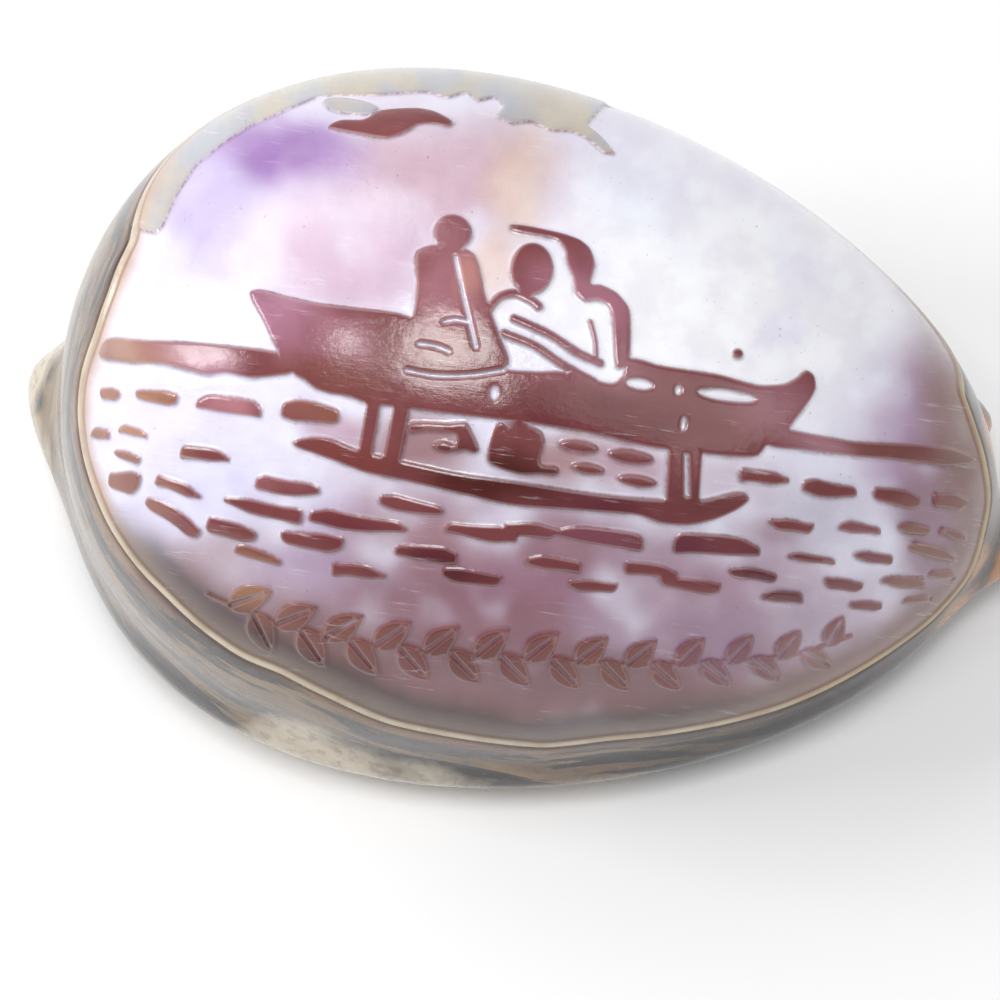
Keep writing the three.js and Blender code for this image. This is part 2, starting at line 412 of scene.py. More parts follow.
# The horizon
patch([(-34.9, 1.9), (-32, 2.2), (-27.7, 2.6), (-24.3, 2.75), (-21.5, 2.8), (-19.5, 2.5), (-19.3, 1.4),
       (-20, 1), (-22.7, 0.35), (-24.9, 0.45), (-26.6, 0.1), (-30, 0.45), (-32.9, 0.2), (-35.3, 0.4)])
patch([(20.2, 2.1), (21.6, 2.1), (26.5, 1.9), (30, 2.2), (32.4, 2.4), (34.6, 2.4), (36.7, 1.85),
       (36.3, 1.35), (34.4, 0.9), (32.6, 0.8), (30, 0.8), (26.7, 0.65), (22.5, 0.6), (19.4, 0.7)])

# The float and its struts
patch([(-18.7, -4.5), (-17.3, -3.75), (-15.85, -3.7), (-14.1, -4.15), (-12.5, -4.45), (-8.6, -4.85),
       (-5, -5.1), (0, -5.1), (5, -5.2), (10, -5.05), (15, -4.5), (17.3, -3.6), (18.3, -3.5), (18.75, -4),
       (17.9, -4.95), (16.3, -5.95), (14.15, -6.75), (11.85, -6.9), (9.9, -6.5), (4.6, -6.8), (-0.5, -7.1),
       (-5, -6.7), (-9.2, -6.3), (-12.65, -6.05), (-15, -5.5), (-16.9, -5.1)])
for left, right, slant in [(-13.2, -12, -0.2), (-11, -9.6, -0.3), (11.6, 14.4, 0.4)]:
    sharp([(left, 0), (right, 0), (right + slant, -5.4), (left + slant, -5.4)])
sharp([(13, -1), (13.32, -1), (13.85, -4.35), (13.5, -4.4)], cut)
patch([(-2.4, -0.5), (-0.5, -0.2), (1.2, -0.8), (1.6, -1.6), (1.5, -3.4), (2.9, -3.5), (3, -4.1),
       (1.5, -4.3), (-0.2, -4.5), (-2.7, -3.9), (-2.9, -2.4)])
patch([(-9.5, -1.6), (-6.5, -1.2), (-5, -0.9), (-4.5, -1.4), (-3.6, -2.9), (-3.9, -3.3), (-4.8, -3.2),
       (-6.4, -3.6), (-7.4, -3.2), (-6.6, -2.7), (-5.6, -2.8), (-5.7, -2), (-8, -2), (-9.4, -2.3)])
for s, t, half, high in [
    (4.4, -1.6, 1.6, 0.5), (5.4, -3.3, 1.4, 0.45), (8.7, -1.85, 1.9, 0.6), (9.5, -3.75, 1.6, 0.5),
]:
    oval(s, t, half, high)

# The paddler on the left, with thin sunk lines for the paddle and the folds
oval(-8.15, 14.3, 1.55, 1.5)
patch([(-10.9, 12.3), (-9.6, 13.1), (-7.4, 13.3), (-6.2, 12.8), (-5.5, 11.5), (-5, 10), (-4.2, 8.4),
       (-3.1, 6.3), (-2.2, 4.5), (-2.7, 3.8), (-6.6, 2.9), (-10.1, 2.6), (-11.2, 3.8), (-11.7, 5.4),
       (-11.4, 6.3), (-10.5, 7), (-10.5, 9.5)])
band([(-7.7, 12.4), (-6.6, 9.4), (-5, 5.3)], 0.16, to=cut)
band([(-7.9, 7), (-7, 7.3), (-5.9, 7.25)], 0.13, to=cut)
band([(-9.7, 4.95), (-8.3, 4.95), (-7.1, 4.65)], 0.13, to=cut)
band([(-10.4, 2.65), (-8, 2.55), (-5, 3), (-2.5, 3.75)], 0.13, to=cut)

# The paddler on the right, drawn as one broad line
patch([(-3.6, 15.6), (-1.9, 15.7), (0.6, 15.5), (2.15, 15.2), (3.1, 14.6), (3.65, 13.5), (3.6, 12.35),
       (3.6, 11.75), (4.4, 11.75), (5.75, 11.3), (6.85, 10.3), (7.15, 9.4), (7.5, 6.4), (7.2, 5.3),
       (6.5, 5.3), (6, 7.4), (5.65, 9.2), (5.2, 10.1), (4.4, 10.45), (3.3, 10.2), (2.45, 10.8), (2.05, 12),
       (1.35, 13.2), (1, 14.3), (0.3, 14.9), (-2.2, 15.05), (-3.5, 15.2)])
oval(-1.35, 12.25, 1.75, 2.15, 0.1)
band([(-4.6, 8.2), (-3.7, 9.6), (-2.5, 10.1), (-1, 9.7), (-0.4, 9.3)], 0.36)
band([(-2.3, 8.1), (0.85, 7.15), (3.25, 6), (5.2, 5.4)], 0.34)
band([(-2.9, 6.75), (-0.3, 6.1), (2.1, 4.9), (4.9, 3.8)], 0.34)
band([(3.95, 8.65), (4.5, 7.3), (4.85, 5.6)], 0.2)
oval(16.2, 7.7, 0.45, 0.4)

# The waves: middle, length, height and rise
for wave in [
    (-34.1, -2.5, 1.6, 1, 0), (-30.3, -2.2, 3.5, 1.1, 0), (-24.3, -2.3, 5.4, 1.4, 0),
    (-17.6, -1.9, 4.8, 1.7, 0),
    (-34.4, -5.9, 1.5, 0.9, 0), (-31.8, -5.4, 2.4, 0.7, -0.3), (-32, -7.4, 2.2, 0.7, -0.5),
    (-25.8, -6.5, 4.1, 1.1, 0),
    (-32, -9.4, 2.6, 1.7, 0), (-27.6, -9.4, 4, 0.9, -1), (-18.7, -8, 5.3, 1.3, 0),
    (-27.7, -11.9, 5.2, 1.2, -2.5),
    (-20.3, -10.1, 6.6, 1.2, -0.6), (-12.5, -10.1, 8, 1.3, 0), (-22.8, -12.2, 4.2, 1.4, -0.6),
    (-16.2, -12.1, 5.2, 1.4, 0),
    (-20.3, -14, 4, 0.9, -0.7), (-12.1, -14.3, 4.5, 1.1, 0), (-8.4, -8.2, 5.3, 1.1, -0.3),
    (-6.8, -12, 5.2, 1.3, 0),
    (-2.65, -9.6, 6, 1.2, 0), (1.5, -8.95, 4.5, 1.2, 0.3), (-2.75, -13.3, 5, 1.2, 0),
    (3.8, -11.45, 4.6, 1.1, 0),
    (7.15, -8.8, 7.3, 1.4, 0), (7.15, -12.7, 4.1, 1, 0.3), (11.55, -10.9, 4.5, 1.1, 0),
    (16.6, -8.3, 7.2, 1.7, 0.4),
    (14.85, -11.5, 5.1, 1.1, 0), (19.65, -2.05, 4.1, 1.1, 0), (25.2, -2.2, 4.5, 1.3, 0),
    (30.6, -2.2, 4, 1.4, -0.3),
    (35, -1.9, 2.8, 1.3, 0), (22.5, -5.6, 3.7, 1, 0), (28.1, -5.15, 3.5, 0.9, 0), (32.4, -4.5, 2.7, 0.9, 0),
    (35.6, -4.6, 2.4, 0.8, -0.5), (34.2, -6.3, 4, 1, -0.6), (24.5, -8.1, 3.9, 0.7, 0),
    (29.5, -7.3, 3.2, 0.9, 0),
    (35.2, -7.9, 2.2, 0.8, 0.4), (19.9, -10.1, 4, 1, 0), (27.3, -9.8, 3.2, 1, 0), (32.2, -8.9, 3.6, 1, 0.3),
    (22.6, -11.6, 3.4, 1, 0.3), (29.3, -11.3, 2.7, 0.8, 0.3), (33.4, -10.3, 2.2, 0.6, 0.5),
]:
    dash(*wave)

# The clouds
patch([(-19.4, 21.5), (-18.4, 22.2), (-16.6, 22.5), (-15.35, 23.4), (-12.5, 24), (-10.95, 23.95),
       (-9.4, 23.35), (-9.6, 22.9), (-11, 22.9), (-12.2, 22.6), (-13.1, 21.9), (-14.5, 21.2),
       (-16.65, 21.2), (-18.65, 21.3)])
oval(-17.8, 23.4, 2.3, 0.62)
pale.append(raised[-1])
# The bank of cloud behind them has a scalloped near edge, and fades out over the crown.
patch([(-32.2, 11), (-30.9, 14.2), (-29.6, 16.9), (-27.5, 19.2), (-25.7, 20.7), (-22.6, 22.6),
       (-20.7, 23.7), (-18.6, 24.2), (-17, 24.4), (-14.5, 24.9), (-11.7, 25.4), (-10, 25.2), (-8.6, 25.8),
       (-7.6, 25.3), (-6.3, 25.7), (-5.5, 25.1), (-5.9, 24.2), (-4.6, 23.8), (-3, 24.2), (-1.4, 23.7),
       (0.4, 23.8), (1.8, 23.4), (3.2, 22.5), (4, 22.6), (2.6, 23.9), (1.6, 24.6), (3, 27), (0, 34),
       (-14, 36), (-28, 32), (-37, 24), (-37, 13)], tension=0.3)
pale.append(raised[-1])

# The border of leaves on both sides of one thin stem
STEM = curve([(-24, -17.7), (-17.5, -19.4), (-12, -19.9), (-6.5, -19.9), (0, -19.5), (8.5, -18.9),
              (12.5, -18.5), (20, -17.1), (24.5, -15.9), (28.5, -13.9)], closed=False)
band(STEM[::8], 0.17, ends=(1, 1))
stem = even(STEM, 2.05, closed=False)
heading = np.gradient(stem, axis=0)
for i in range(1, len(stem) - 1):
    side = 1 if i % 2 else -1
    small = 1 - 0.28 * (i / len(stem)) ** 2
    angle = math.atan2(heading[i, 1], heading[i, 0]) + side * 0.72
    leaf(stem[i, 0] + 1.65 * small * math.cos(angle), stem[i, 1] + 1.65 * small * math.sin(angle),
        3.8 * small, 2.2 * small, angle)

# The rim of the etched part, as drawn where the viewer sees it, and then by angle and height behind the crown
RIM_SEEN = [(-34, 10), (-34.7, 8), (-35.2, 5.6), (-35.85, 2.2), (-36.5, -1.15), (-36.35, -4.4),
            (-35.4, -7.9), (-34.3, -10.3), (-32.7, -13), (-30, -16), (-27.2, -18.2), (-24.1, -20.4),
            (-20.4, -22.3), (-17.1, -23.1), (-12.5, -24.7), (-8, -26), (-4, -26.3), (0, -26.4), (5, -26.2),
            (10, -24.9), (15, -23.7), (19.8, -22.1), (23.5, -20.5), (27.2, -18.3), (30.1, -16.1),
            (32.6, -13.9), (35, -11.4), (37.2, -8), (38, -4), (38.1, -1), (37.6, 0.9), (36.1, 4.4),
            (34.8, 6.9), (-33.9, 12)]
RIM_BEHIND = [(20, 21.5), (30, 19.5), (45, 20), (60, 22), (78, 23.5), (92, 24), (106, 24.5), (120, 25.2),
              (140, 27), (155, 29.3)]


def rim_way():
    """How far down the rim lies, by angle."""
    uv = thrown(RIM_SEEN) / CHART
    angles = np.concatenate([np.arctan2(uv[:, 1], uv[:, 0]), np.radians([a for a, _ in RIM_BEHIND])])
    ways = np.concatenate([np.hypot(uv[:, 0], uv[:, 1]),
        way_at(np.array([z for _, z in RIM_BEHIND], float))])
    order = np.argsort(angles)
    fine = np.linspace(-HALF_TURN, HALF_TURN, 1440, endpoint=False)
    way = np.interp(fine, angles[order], ways[order], period=2 * HALF_TURN)
    soft = bell(np.linspace(-2, 2, 25))
    return fine, np.convolve(np.concatenate([way[-12:], way, way[:12]]), soft / soft.sum(), "valid")


RIM_ANGLES, RIM_WAYS = rim_way()
CAP_BORDER = 0.034  # how much further down the finely meshed cap goes


def rim_at(angle):
    return np.interp(turn(angle), RIM_ANGLES, RIM_WAYS, period=2 * HALF_TURN)


# ---------------------------------------------------------------------------------------------------------
# The relief
# ---------------------------------------------------------------------------------------------------------

DEPTH = 0.2  # of the etched ground below the raised shapes
EDGE_ROWS = (0.0, 0.12, -0.12, 0.34, -0.34)
RIM_ROWS = (0.0, 0.2, -0.16, 0.4, -0.3, 0.62, -0.46, 0.9, -0.75, 1.3, -1.1)


def inside(shape, place):
    """Which points lie inside a closed outline."""
    found = np.zeros(len(place), bool)
    low, high = shape.min(0), shape.max(0)
    near = np.flatnonzero(((place >= low) & (place <= high)).all(1))
    if len(near):
        x, y = place[near].T
        odd = np.zeros(len(near), bool)
        for (ax, ay), (bx, by) in zip(shape, np.roll(shape, -1, 0)):
            if ay != by:
                odd ^= ((ay > y) != (by > y)) & (x < (bx - ax) * (y - ay) / (by - ay) + ax)
        found[near] = odd
    return found


def within_any(shapes, place):
    found = np.zeros(len(place), bool)
    for shape in shapes:
        found |= inside(shape, place)
    return found


def standing(place):
    """Which points of the sheet were left standing when the ground was etched away."""
    return within_any(raised, place) & ~within_any(cut, place)


def tree_of(place):
    tree = kdtree.KDTree(len(place))
    for i, p in enumerate(place):
        tree.insert(p, i)
    tree.balance()
    return tree


def nearest(tree, place):
    found = [tree.find(p) for p in place]
    return np.array([f[2] for f in found]), np.array([f[1] for f in found])


def carved_edges():
    """Points along every edge of the relief, with the edge's own direction in space."""
    uvs, tangents, drawn = [], [], []
    for shape in raised + cut:
        along = np.roll(shape, -1, 0) - np.roll(shape, 1, 0)
        side = np.stack([-along[:, 1], along[:, 0]], -1) / np.linalg.norm(along, axis=1,
            keepdims=True) * 0.04
        real = standing(shape + side) != standing(shape - side)
        uv = thrown(shape)
        place = from_chart(uv)
        tangent = np.roll(place, -1, 0) - np.roll(place, 1, 0)
        tangent /= np.maximum(1e-9, np.linalg.norm(tangent, axis=1, keepdims=True))
        real &= np.linalg.norm(on_sheet(place) - shape, axis=1) < 0.05
        uvs.append(uv[real])
        tangents.append(tangent[real])
        drawn.append(shape[real])
    return np.vstack(uvs), np.vstack(tangents), np.vstack(drawn)


def rows_along(uv, tangent, distances, every):
    """Rows of chart points on both sides of a line, evenly spaced."""
    uv, tangent = uv[::every], tangent[::every]
    across = np.cross(chart_normals(uv), tangent)
    return [(abs(d), moved_on_chart(uv, across * d)) for d in distances]


def thinned(rows, cell):
    """Rows without the points that come too near to points kept before."""
    kept, places = [], []
    for d, uv in rows:
        place = from_chart(uv)
        if places and d > 0:
            gap, _ = nearest(tree_of(np.vstack(places[:1])), place)
            near = gap > 0.86 * d
            uv, place = uv[near], place[near]
        kept.append(uv)
        places.append(place)
    uv = np.vstack(kept)
    _, first = np.unique(np.round(from_chart(uv) / cell).astype(int), axis=0, return_index=True)
    return uv[np.sort(first)]


edge_uv, edge_tangent, edge_drawn = carved_edges()
edge_place = from_chart(edge_uv)
edge_tree = tree_of(edge_place)

around = np.linspace(-HALF_TURN, HALF_TURN, 1500, endpoint=False)
rim_uv = to_chart(around, rim_at(around))
rim_place = from_chart(rim_uv)
rim_tangent = np.roll(rim_place, -1, 0) - np.roll(rim_place, 1, 0)
rim_tangent /= np.linalg.norm(rim_tangent, axis=1, keepdims=True)
rim_tree = tree_of(rim_place)


def rim_distance(uv):
    """Millimetres from the rim, inwards positive."""
    d, _ = nearest(rim_tree, from_chart(uv))
    u, v = (uv / CHART).T
    return np.where(np.hypot(u, v) < rim_at(np.arctan2(v, u)), d, -d)


def cap_points():
    """The chart points that the carved cap's mesh is made of."""
    edges = thinned(rows_along(edge_uv, edge_tangent, EDGE_ROWS, 2), 0.05)
    rims = thinned(rows_along(rim_uv, rim_tangent, RIM_ROWS, 2), 0.05)
    rims = rims[np.abs(rim_distance(rims)) < 1.45]
    gap, _ = nearest(edge_tree, from_chart(rims))
    rims = rims[gap > 0.3]
    pitch = 0.95
    u, v = np.meshgrid(np.arange(-66, 66, pitch), np.arange(-48, 48, pitch * 0.87))
    u[1::2] += pitch / 2
    field = np.stack([u.ravel(), v.ravel()], -1)
    way, angle = np.hypot(*(field / CHART).T), np.arctan2(field[:, 1] / CHART[1], field[:, 0] / CHART[0])
    field = field[way < rim_at(angle) + CAP_BORDER - 0.004]
    edge_gap, _ = nearest(edge_tree, from_chart(field))
    field = field[(edge_gap > 0.62) & (np.abs(rim_distance(field)) > 1.5)]
    chart = np.vstack([edges, rims, field])
    way, angle = np.hypot(*(chart / CHART).T), np.arctan2(chart[:, 1] / CHART[1], chart[:, 0] / CHART[0])
    return chart[way < rim_at(angle) + CAP_BORDER - 0.003]


def relief(uv):
    """The carved height at chart points, with what the finishes need to know about each point."""
    place = from_chart(uv)
    sheet = on_sheet(place)
    toward = facing(uv)
    fade = step(-0.19, -0.03, toward)  # the bank of cloud fades out over the crown
    up = standing(sheet) & (toward > -0.2)
    gap, which = nearest(edge_tree, place)
    edge = np.where(up, gap, -gap)
    rim = rim_distance(uv)
    u, v = (uv / CHART).T
    behind = bell(turn(np.arctan2(v, u) - 1.15) / 0.75)  # the rim is plain behind the crown
    left = step(-0.12, 0.12, edge) * fade
    bed = step(0.25, 0.85, rim)
    hollowed = DEPTH * bed * (1 - left) + 0.03 * bed * left * bell(edge / 0.25)
    trench = 0.02 * bed * bell((edge + 0.2) / 0.12)
    ridge = (0.08 * bell((rim - 0.25) / 0.3) - 0.12 * bell((rim + 0.3) / 0.17)) * (1 - 0.8 * behind)
    below = (sheet - edge_drawn[which])[:, 1] < 0
    # Painted shade at the foot of every raised edge, stronger on its lower side and fading where the back
    # turns away from the viewer
    crease_shade = bell((edge + 0.04) / 0.12) * np.where(below, 0.8, 0.35) * step(0.15, 0.5, toward)
    facts = {"edge": np.clip(edge, -3, 3), "rim": rim, "left_standing": left, "crease_shade": crease_shade,
        "cream": 1 - behind,
             "pale": within_any(pale, sheet) * fade}
    return ridge - hollowed - trench, sheet, facts


# ---------------------------------------------------------------------------------------------------------
# The mesh
# ---------------------------------------------------------------------------------------------------------


def slit_middle(x):
    share = np.minimum(1, ((x - SLIT_X) / SLIT_HALF_LENGTH) ** 2)
    return lerp(SLIT_Y, np.where(x < SLIT_X, SLIT_END_Y["back"], SLIT_END_Y["front"]), share)


def slit(angle, out=0.0):
    counted = from_slit(angle)
    x = SLIT_X + (SLIT_HALF_LENGTH + 0.3 * out) * np.cos(counted)
    return x, slit_middle(x) + (SLIT_HALF_GAP + out) * np.tanh(1.3 * np.sin(counted) / CANAL_ANGLE)


def base_reach(angle):
    return lerp(BASE_REACH["ends"], BASE_REACH["sides"], smooth(np.abs(np.sin(from_slit(angle)))))


def side_end(angle):
    return 1 + (1 - base_reach(angle) ** UNDER_POWER) ** (1 / UNDER_POWER) / STEEPNESS


def hollow(angle, reach):
    return section(angle, reach, HALF_LENGTH - WALL, HALF_WIDTH - WALL)


def roof(angle, t):
    x, y = hollow(angle, np.sin(t))
    return points(x, y, lerp(WIDEST_Z + 1, HEIGHT - WALL, np.cos(t)))


def fold_keys(angle):
    """Under the base, round the lip, up through the slit and out over the hollow's floor."""
    edge, lip, wide = section(angle, base_reach(angle)), slit(angle), hollow(angle, 1.0)
    side = smooth((1 + np.sin(from_slit(angle))) / 2)

    def between(a, b, t):
        return lerp(a[0], b[0], t), lerp(a[1], b[1], t)

    def within(t, z):
        x, y = between(lip, wide, t)
        return points(x, y, z + canal_lift(angle, z, CANAL_WALL, 2 * CANAL_ANGLE))

    same = np.zeros_like(angle)
    return [
        shaped(angle, between(edge, lip, 0.3), same - FLAT_DIP, 0.6),
        shaped(angle, between(edge, lip, 0.62), same - FLAT_DIP, 0.2),
        shaped(angle, between(edge, lip, 0.86), same + 0.4, 0),
        shaped(angle, between(edge, lip, 0.97), same + 1.3, 0),
        shaped(angle, slit(angle, -0.05), same + 2.8, 0),
        shaped(angle, slit(angle, lerp(0.2, -0.05, side)), lerp(4.4, 5, side), 0),
        within(0.1, lerp(6.2, 9, side)),
        within(0.28, lerp(6.2, 10, side)),
        within(0.6, lerp(5.2, 6.4, side)),
        within(0.86, same + 7.5),
    ]


def catmull(a, b, c, d, t):
    p = 0.5 * (2 * b + (c - a) * t + (2 * a - 5 * b + 4 * c - d) * t * t + (3 * b - a - 3 * c + d) * t**3)
    p[:, 2] = np.maximum(0, p[:, 2])
    return p


def outer_rings(angle, border_way):
    """Every ring below the cap, on to the top of the hollow's roof, and how far each is round the fold."""
    end = side_end(angle)
    rings = []
    for i in range(1, SIDE_ROWS + 1):
        share = 1 - (1 - i / SIDE_ROWS) ** 1.35
        rings.append((outside(angle, lerp(border_way, end, share)), 0.0))
    before = outside(angle, 1 + (end - 1) * 5 / 6)
    first, second = roof(angle, math.pi / 2), roof(angle, 0.8 * math.pi / 2)
    keys = [before, rings[-1][0], *fold_keys(angle), first, second]
    for k in range(1, len(keys) - 2):
        for i in range(1, FOLD_ROWS + 1):
            ring = catmull(keys[k - 1], keys[k], keys[k + 1], keys[k + 2], i / FOLD_ROWS)
            rings.append((ring, min(1.0, max(0.0, (k - 5 + i / FOLD_ROWS) / 3))))
    for i in range(1, ROOF_ROWS):
        rings.append((roof(angle, (1 - i / ROOF_ROWS) * math.pi / 2), 1.0))
    return rings


def shell_mesh():
    even_angle = np.linspace(-HALF_TURN, HALF_TURN, COLUMNS, endpoint=False)
    angle = with_slit(even_angle - END_CROWDING / 2 * np.sin(2 * even_angle))
    border_way = rim_at(angle) + CAP_BORDER
    border = to_chart(angle, border_way)
    field = cap_points()
    chart = np.vstack([border, field])
    loop = [(i, (i + 1) % COLUMNS) for i in range(COLUMNS)]
    verts, _, faces, origins, _, _ = geometry.delaunay_2d_cdt([Vector(p) for p in chart], loop, [], 0, 1e-6)
    place_of = [o[0] if o else -1 for o in origins]
    cap = []
    inner = np.arange(len(chart)) >= COLUMNS
    for face in faces:
        a, b, c = (place_of[i] for i in face)
        if min(a, b, c) >= 0 and (inner[a] or inner[b] or inner[c]):
            cap.append((a, b, c))
    height, sheet, facts = relief(chart)
    height[:COLUMNS] = 0
    place = from_chart(chart) + chart_normals(chart) * height[:, None]
    rings = outer_rings(angle, border_way)
    places, sheets = [place], [sheet]
    rim = facts["rim"][:COLUMNS]
    facts["fold"] = np.zeros(len(chart))
    facts = {name: [value] for name, value in facts.items()}
    last = place[:COLUMNS]
    for ring, fold in rings:
        rim = rim - np.linalg.norm(ring - last, axis=1)
        last = ring
        places.append(ring)
        sheets.append(on_sheet(ring))
        for name, value in [("edge", -3), ("rim", rim), ("left_standing", 0), ("crease_shade", 0), ("cream", 0),
            ("pale", 0), ("fold", fold)]:
            facts[name].append(np.broadcast_to(np.float64(value), (COLUMNS,)))
    top = np.array([[CROWN_X, 0, HEIGHT - WALL]])
    places.append(top)
    sheets.append(on_sheet(top))
    for name, value in [("edge", -3), ("rim", -60), ("left_standing", 0), ("crease_shade", 0), ("cream", 0),
        ("pale", 0), ("fold", 1)]:
        facts[name].append(np.array([value], float))
    place = np.vstack(places)
    faces = list(cap)
    start = [0] + [len(chart) + i * COLUMNS for i in range(len(rings))]
    for a, b in zip(start, start[1:]):
        for i in range(COLUMNS):
            j = (i + 1) % COLUMNS
            faces.append((a + i, b + i, b + j, a + j))
    for i in range(COLUMNS):
        faces.append((start[-1] + i, len(place) - 1, start[-1] + (i + 1) % COLUMNS))
    return place, faces, np.vstack(sheets), {name: np.concatenate(parts) for name, parts in facts.items()}


shell_place, shell_faces, shell_sheet, shell_facts = shell_mesh()

# The CAD shell stands over the middle of its own box, so this one does too.
cad = [np.array(corner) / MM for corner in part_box("cowrie_shell")]
SHIFT = (cad[0] + cad[1]) / 2 - (shell_place.min(0) + shell_place.max(0)) / 2
SHIFT[2] = 0


def new_object(name, place, faces):
    mesh = bpy.data.meshes.new(name)
    mesh.from_pydata((np.asarray(place) * MM).tolist(), [], faces)
    mesh.validate()
    mesh.shade_smooth()
    made = bpy.data.objects.new(name, mesh)
    bpy.context.scene.collection.objects.link(made)
    return made


# ---------------------------------------------------------------------------------------------------------
# Making nodes
# ---------------------------------------------------------------------------------------------------------


def colour(red, green, blue):
    """A screen colour, 0 to 255, as the renderer's linear colour."""
    def line(c):
        c /= 255
        return c / 12.92 if c <= 0.04045 else ((c + 0.055) / 1.055) ** 2.4

    return (line(red), line(green), line(blue), 1.0)


class Maker:
    """Adds nodes to one tree; an input may be a plain value or another node's output."""

    def __init__(self, tree):
        self.tree = tree

    def add(self, kind, inputs=(), **settings):
        node = self.tree.nodes.new(kind)
        for name, value in settings.items():
            setattr(node, name, value)
        for key, value in dict(inputs).items():
            if isinstance(value, bpy.types.NodeSocket):
                self.tree.links.new(value, node.inputs[key])
            else:
                node.inputs[key].default_value = value
        return node

    def math(self, operation, a, b=0.0):
        return self.add("ShaderNodeMath", {0: a, 1: b}, operation=operation).outputs[0]

    def plus(self, a, b):
        return self.math("ADD", a, b)

    def minus(self, a, b):
        return self.math("SUBTRACT", a, b)

    def times(self, a, b):
        return self.math("MULTIPLY", a, b)

    def vector(self, operation, a, b=(0, 0, 0)):
        node = self.add("ShaderNodeVectorMath", {0: a}, operation=operation)
        if operation == "SCALE":
            return self.fill(node, "Scale", b).outputs[0]
        self.fill(node, 1, b)
        return node.outputs["Value" if operation in {"LENGTH", "DOT_PRODUCT"} else "Vector"]

    def fill(self, node, key, value):
        if isinstance(value, bpy.types.NodeSocket):
            self.tree.links.new(value, node.inputs[key])
        else:
            node.inputs[key].default_value = value
        return node

    def span(self, value, low, high, to_low=0.0, to_high=1.0):
        node = self.add("ShaderNodeMapRange",
            {"Value": value, "From Min": low, "From Max": high, "To Min": to_low, "To Max": to_high})
        node.interpolation_type = "SMOOTHSTEP"
        return node.outputs[0]

    def mix(self, factor, a, b, blend="MIX"):
        node = self.add("ShaderNodeMix", data_type="RGBA", blend_type=blend)
        for key, value in ((0, factor), (6, a), (7, b)):
            self.fill(node, key, value)
        return node.outputs[2]

    def noise(self, place, scale, detail=2.0, roughness=0.5, distortion=0.0):
        inputs = {"Vector": place, "Scale": scale, "Detail": detail, "Roughness": roughness,
            "Distortion": distortion}
        return self.add("ShaderNodeTexNoise", inputs).outputs["Fac"]

    def fact(self, name):
        return self.add("ShaderNodeAttribute", attribute_name=name).outputs

    def group(self, tree, **inputs):
        node = self.add("ShaderNodeGroup", node_tree=tree)
        for name, value in inputs.items():
            self.fill(node, name.replace("_", " "), value)
        return node.outputs


def new_group(name, inputs, outputs):
    tree = bpy.data.node_groups.new(name, "ShaderNodeTree")
    kinds = {"vector": "NodeSocketVector", "value": "NodeSocketFloat", "colour": "NodeSocketColor"}
    for label, kind, start in inputs:
        socket = tree.interface.new_socket(label, in_out="INPUT", socket_type=kinds[kind])
        if start is not None:
            socket.default_value = start
    for label, kind in outputs:
        tree.interface.new_socket(label, in_out="OUTPUT", socket_type=kinds[kind])
    make = Maker(tree)
    return tree, make, tree.nodes.new("NodeGroupInput").outputs, tree.nodes.new("NodeGroupOutput")


def soft_patch_group():
    """A cloud-edged patch of colour: 1 in its middle and 0 outside."""
    tree, make, given, result = new_group(
        "Soft patch",
        [("Place", "vector", None), ("Centre", "vector", None), ("Size", "vector", (1, 1, 1)),
        ("Strength", "value", 1.0)],
        [("Mask", "value")],
    )
    off = make.vector("DIVIDE", make.vector("SUBTRACT", given["Place"], given["Centre"]), given["Size"])
    mask = make.span(make.vector("LENGTH", off), 0.3, 1.3, 1.0, 0.0)
    make.fill(result, "Mask", make.times(mask, given["Strength"]))
    return tree


def wandering_group():
    """Shifts a place about, so that patches get ragged edges."""
    tree, make, given, result = new_group(
        "Wandering place",
        [("Place", "vector", None), ("Amount", "value", 1.0), ("Scale", "value", 0.1)],
        [("Place", "vector")],
    )
    field = make.add("ShaderNodeTexNoise",
        {"Vector": given["Place"], "Scale": given["Scale"], "Detail": 2.0, "Roughness": 0.5})
    shift = make.vector("SCALE", make.vector("SUBTRACT", field.outputs["Color"], (0.5, 0.5, 0.5)),
        given["Amount"])
    make.fill(result, "Place", make.vector("ADD", given["Place"], shift))
    return tree


def speckle_group():
    """Blotches of one size, with the share of the surface that they cover."""
    tree, make, given, result = new_group(
        "Blotches",
        [("Place", "vector", None), ("Scale", "value", 1.0), ("Cover", "value", 0.3),
        ("Softness", "value", 0.08)],
        [("Mask", "value")],
    )
    field = make.noise(given["Place"], given["Scale"], 3.0, 0.55, 0.4)
    low = make.minus(0.72, make.times(given["Cover"], 0.45))
    make.fill(result, "Mask", make.span(field, low, make.plus(low, given["Softness"])))
    return tree


def streak_group():
    """Fine parallel scratches, as a height and as a value."""
    tree, make, given, result = new_group(
        "Fine scratches",
        [("Place", "vector", None), ("Stretch", "vector", (0.15, 3.0, 1.0)), ("Scale", "value", 1.0)],
        [("Value", "value"), ("Height", "value")],
    )
    place = make.vector("MULTIPLY", given["Place"], given["Stretch"])
    lines = make.noise(place, given["Scale"], 5.0, 0.7)
    gate = make.span(make.noise(given["Place"], 0.16, 2.0), 0.42, 0.62)
    make.fill(result, "Value", make.times(make.span(lines, 0.56, 0.72), gate))
    make.fill(result, "Height", make.times(lines, make.plus(make.times(gate, 0.7), 0.3)))
    return tree


SOFT_PATCH = soft_patch_group()
WANDERING = wandering_group()
BLOTCHES = speckle_group()
SCRATCHES = streak_group()


def painted(make, place, first, patches):
    """A colour with soft patches of other colours: middle, half size, colour and strength."""
    result = first
    for centre, size, tint, strength in patches:
        mask = make.group(SOFT_PATCH, Place=place, Centre=(*centre, 0), Size=(*size, 1),
            Strength=strength)["Mask"]
        result = make.mix(mask, result, tint)
    return result


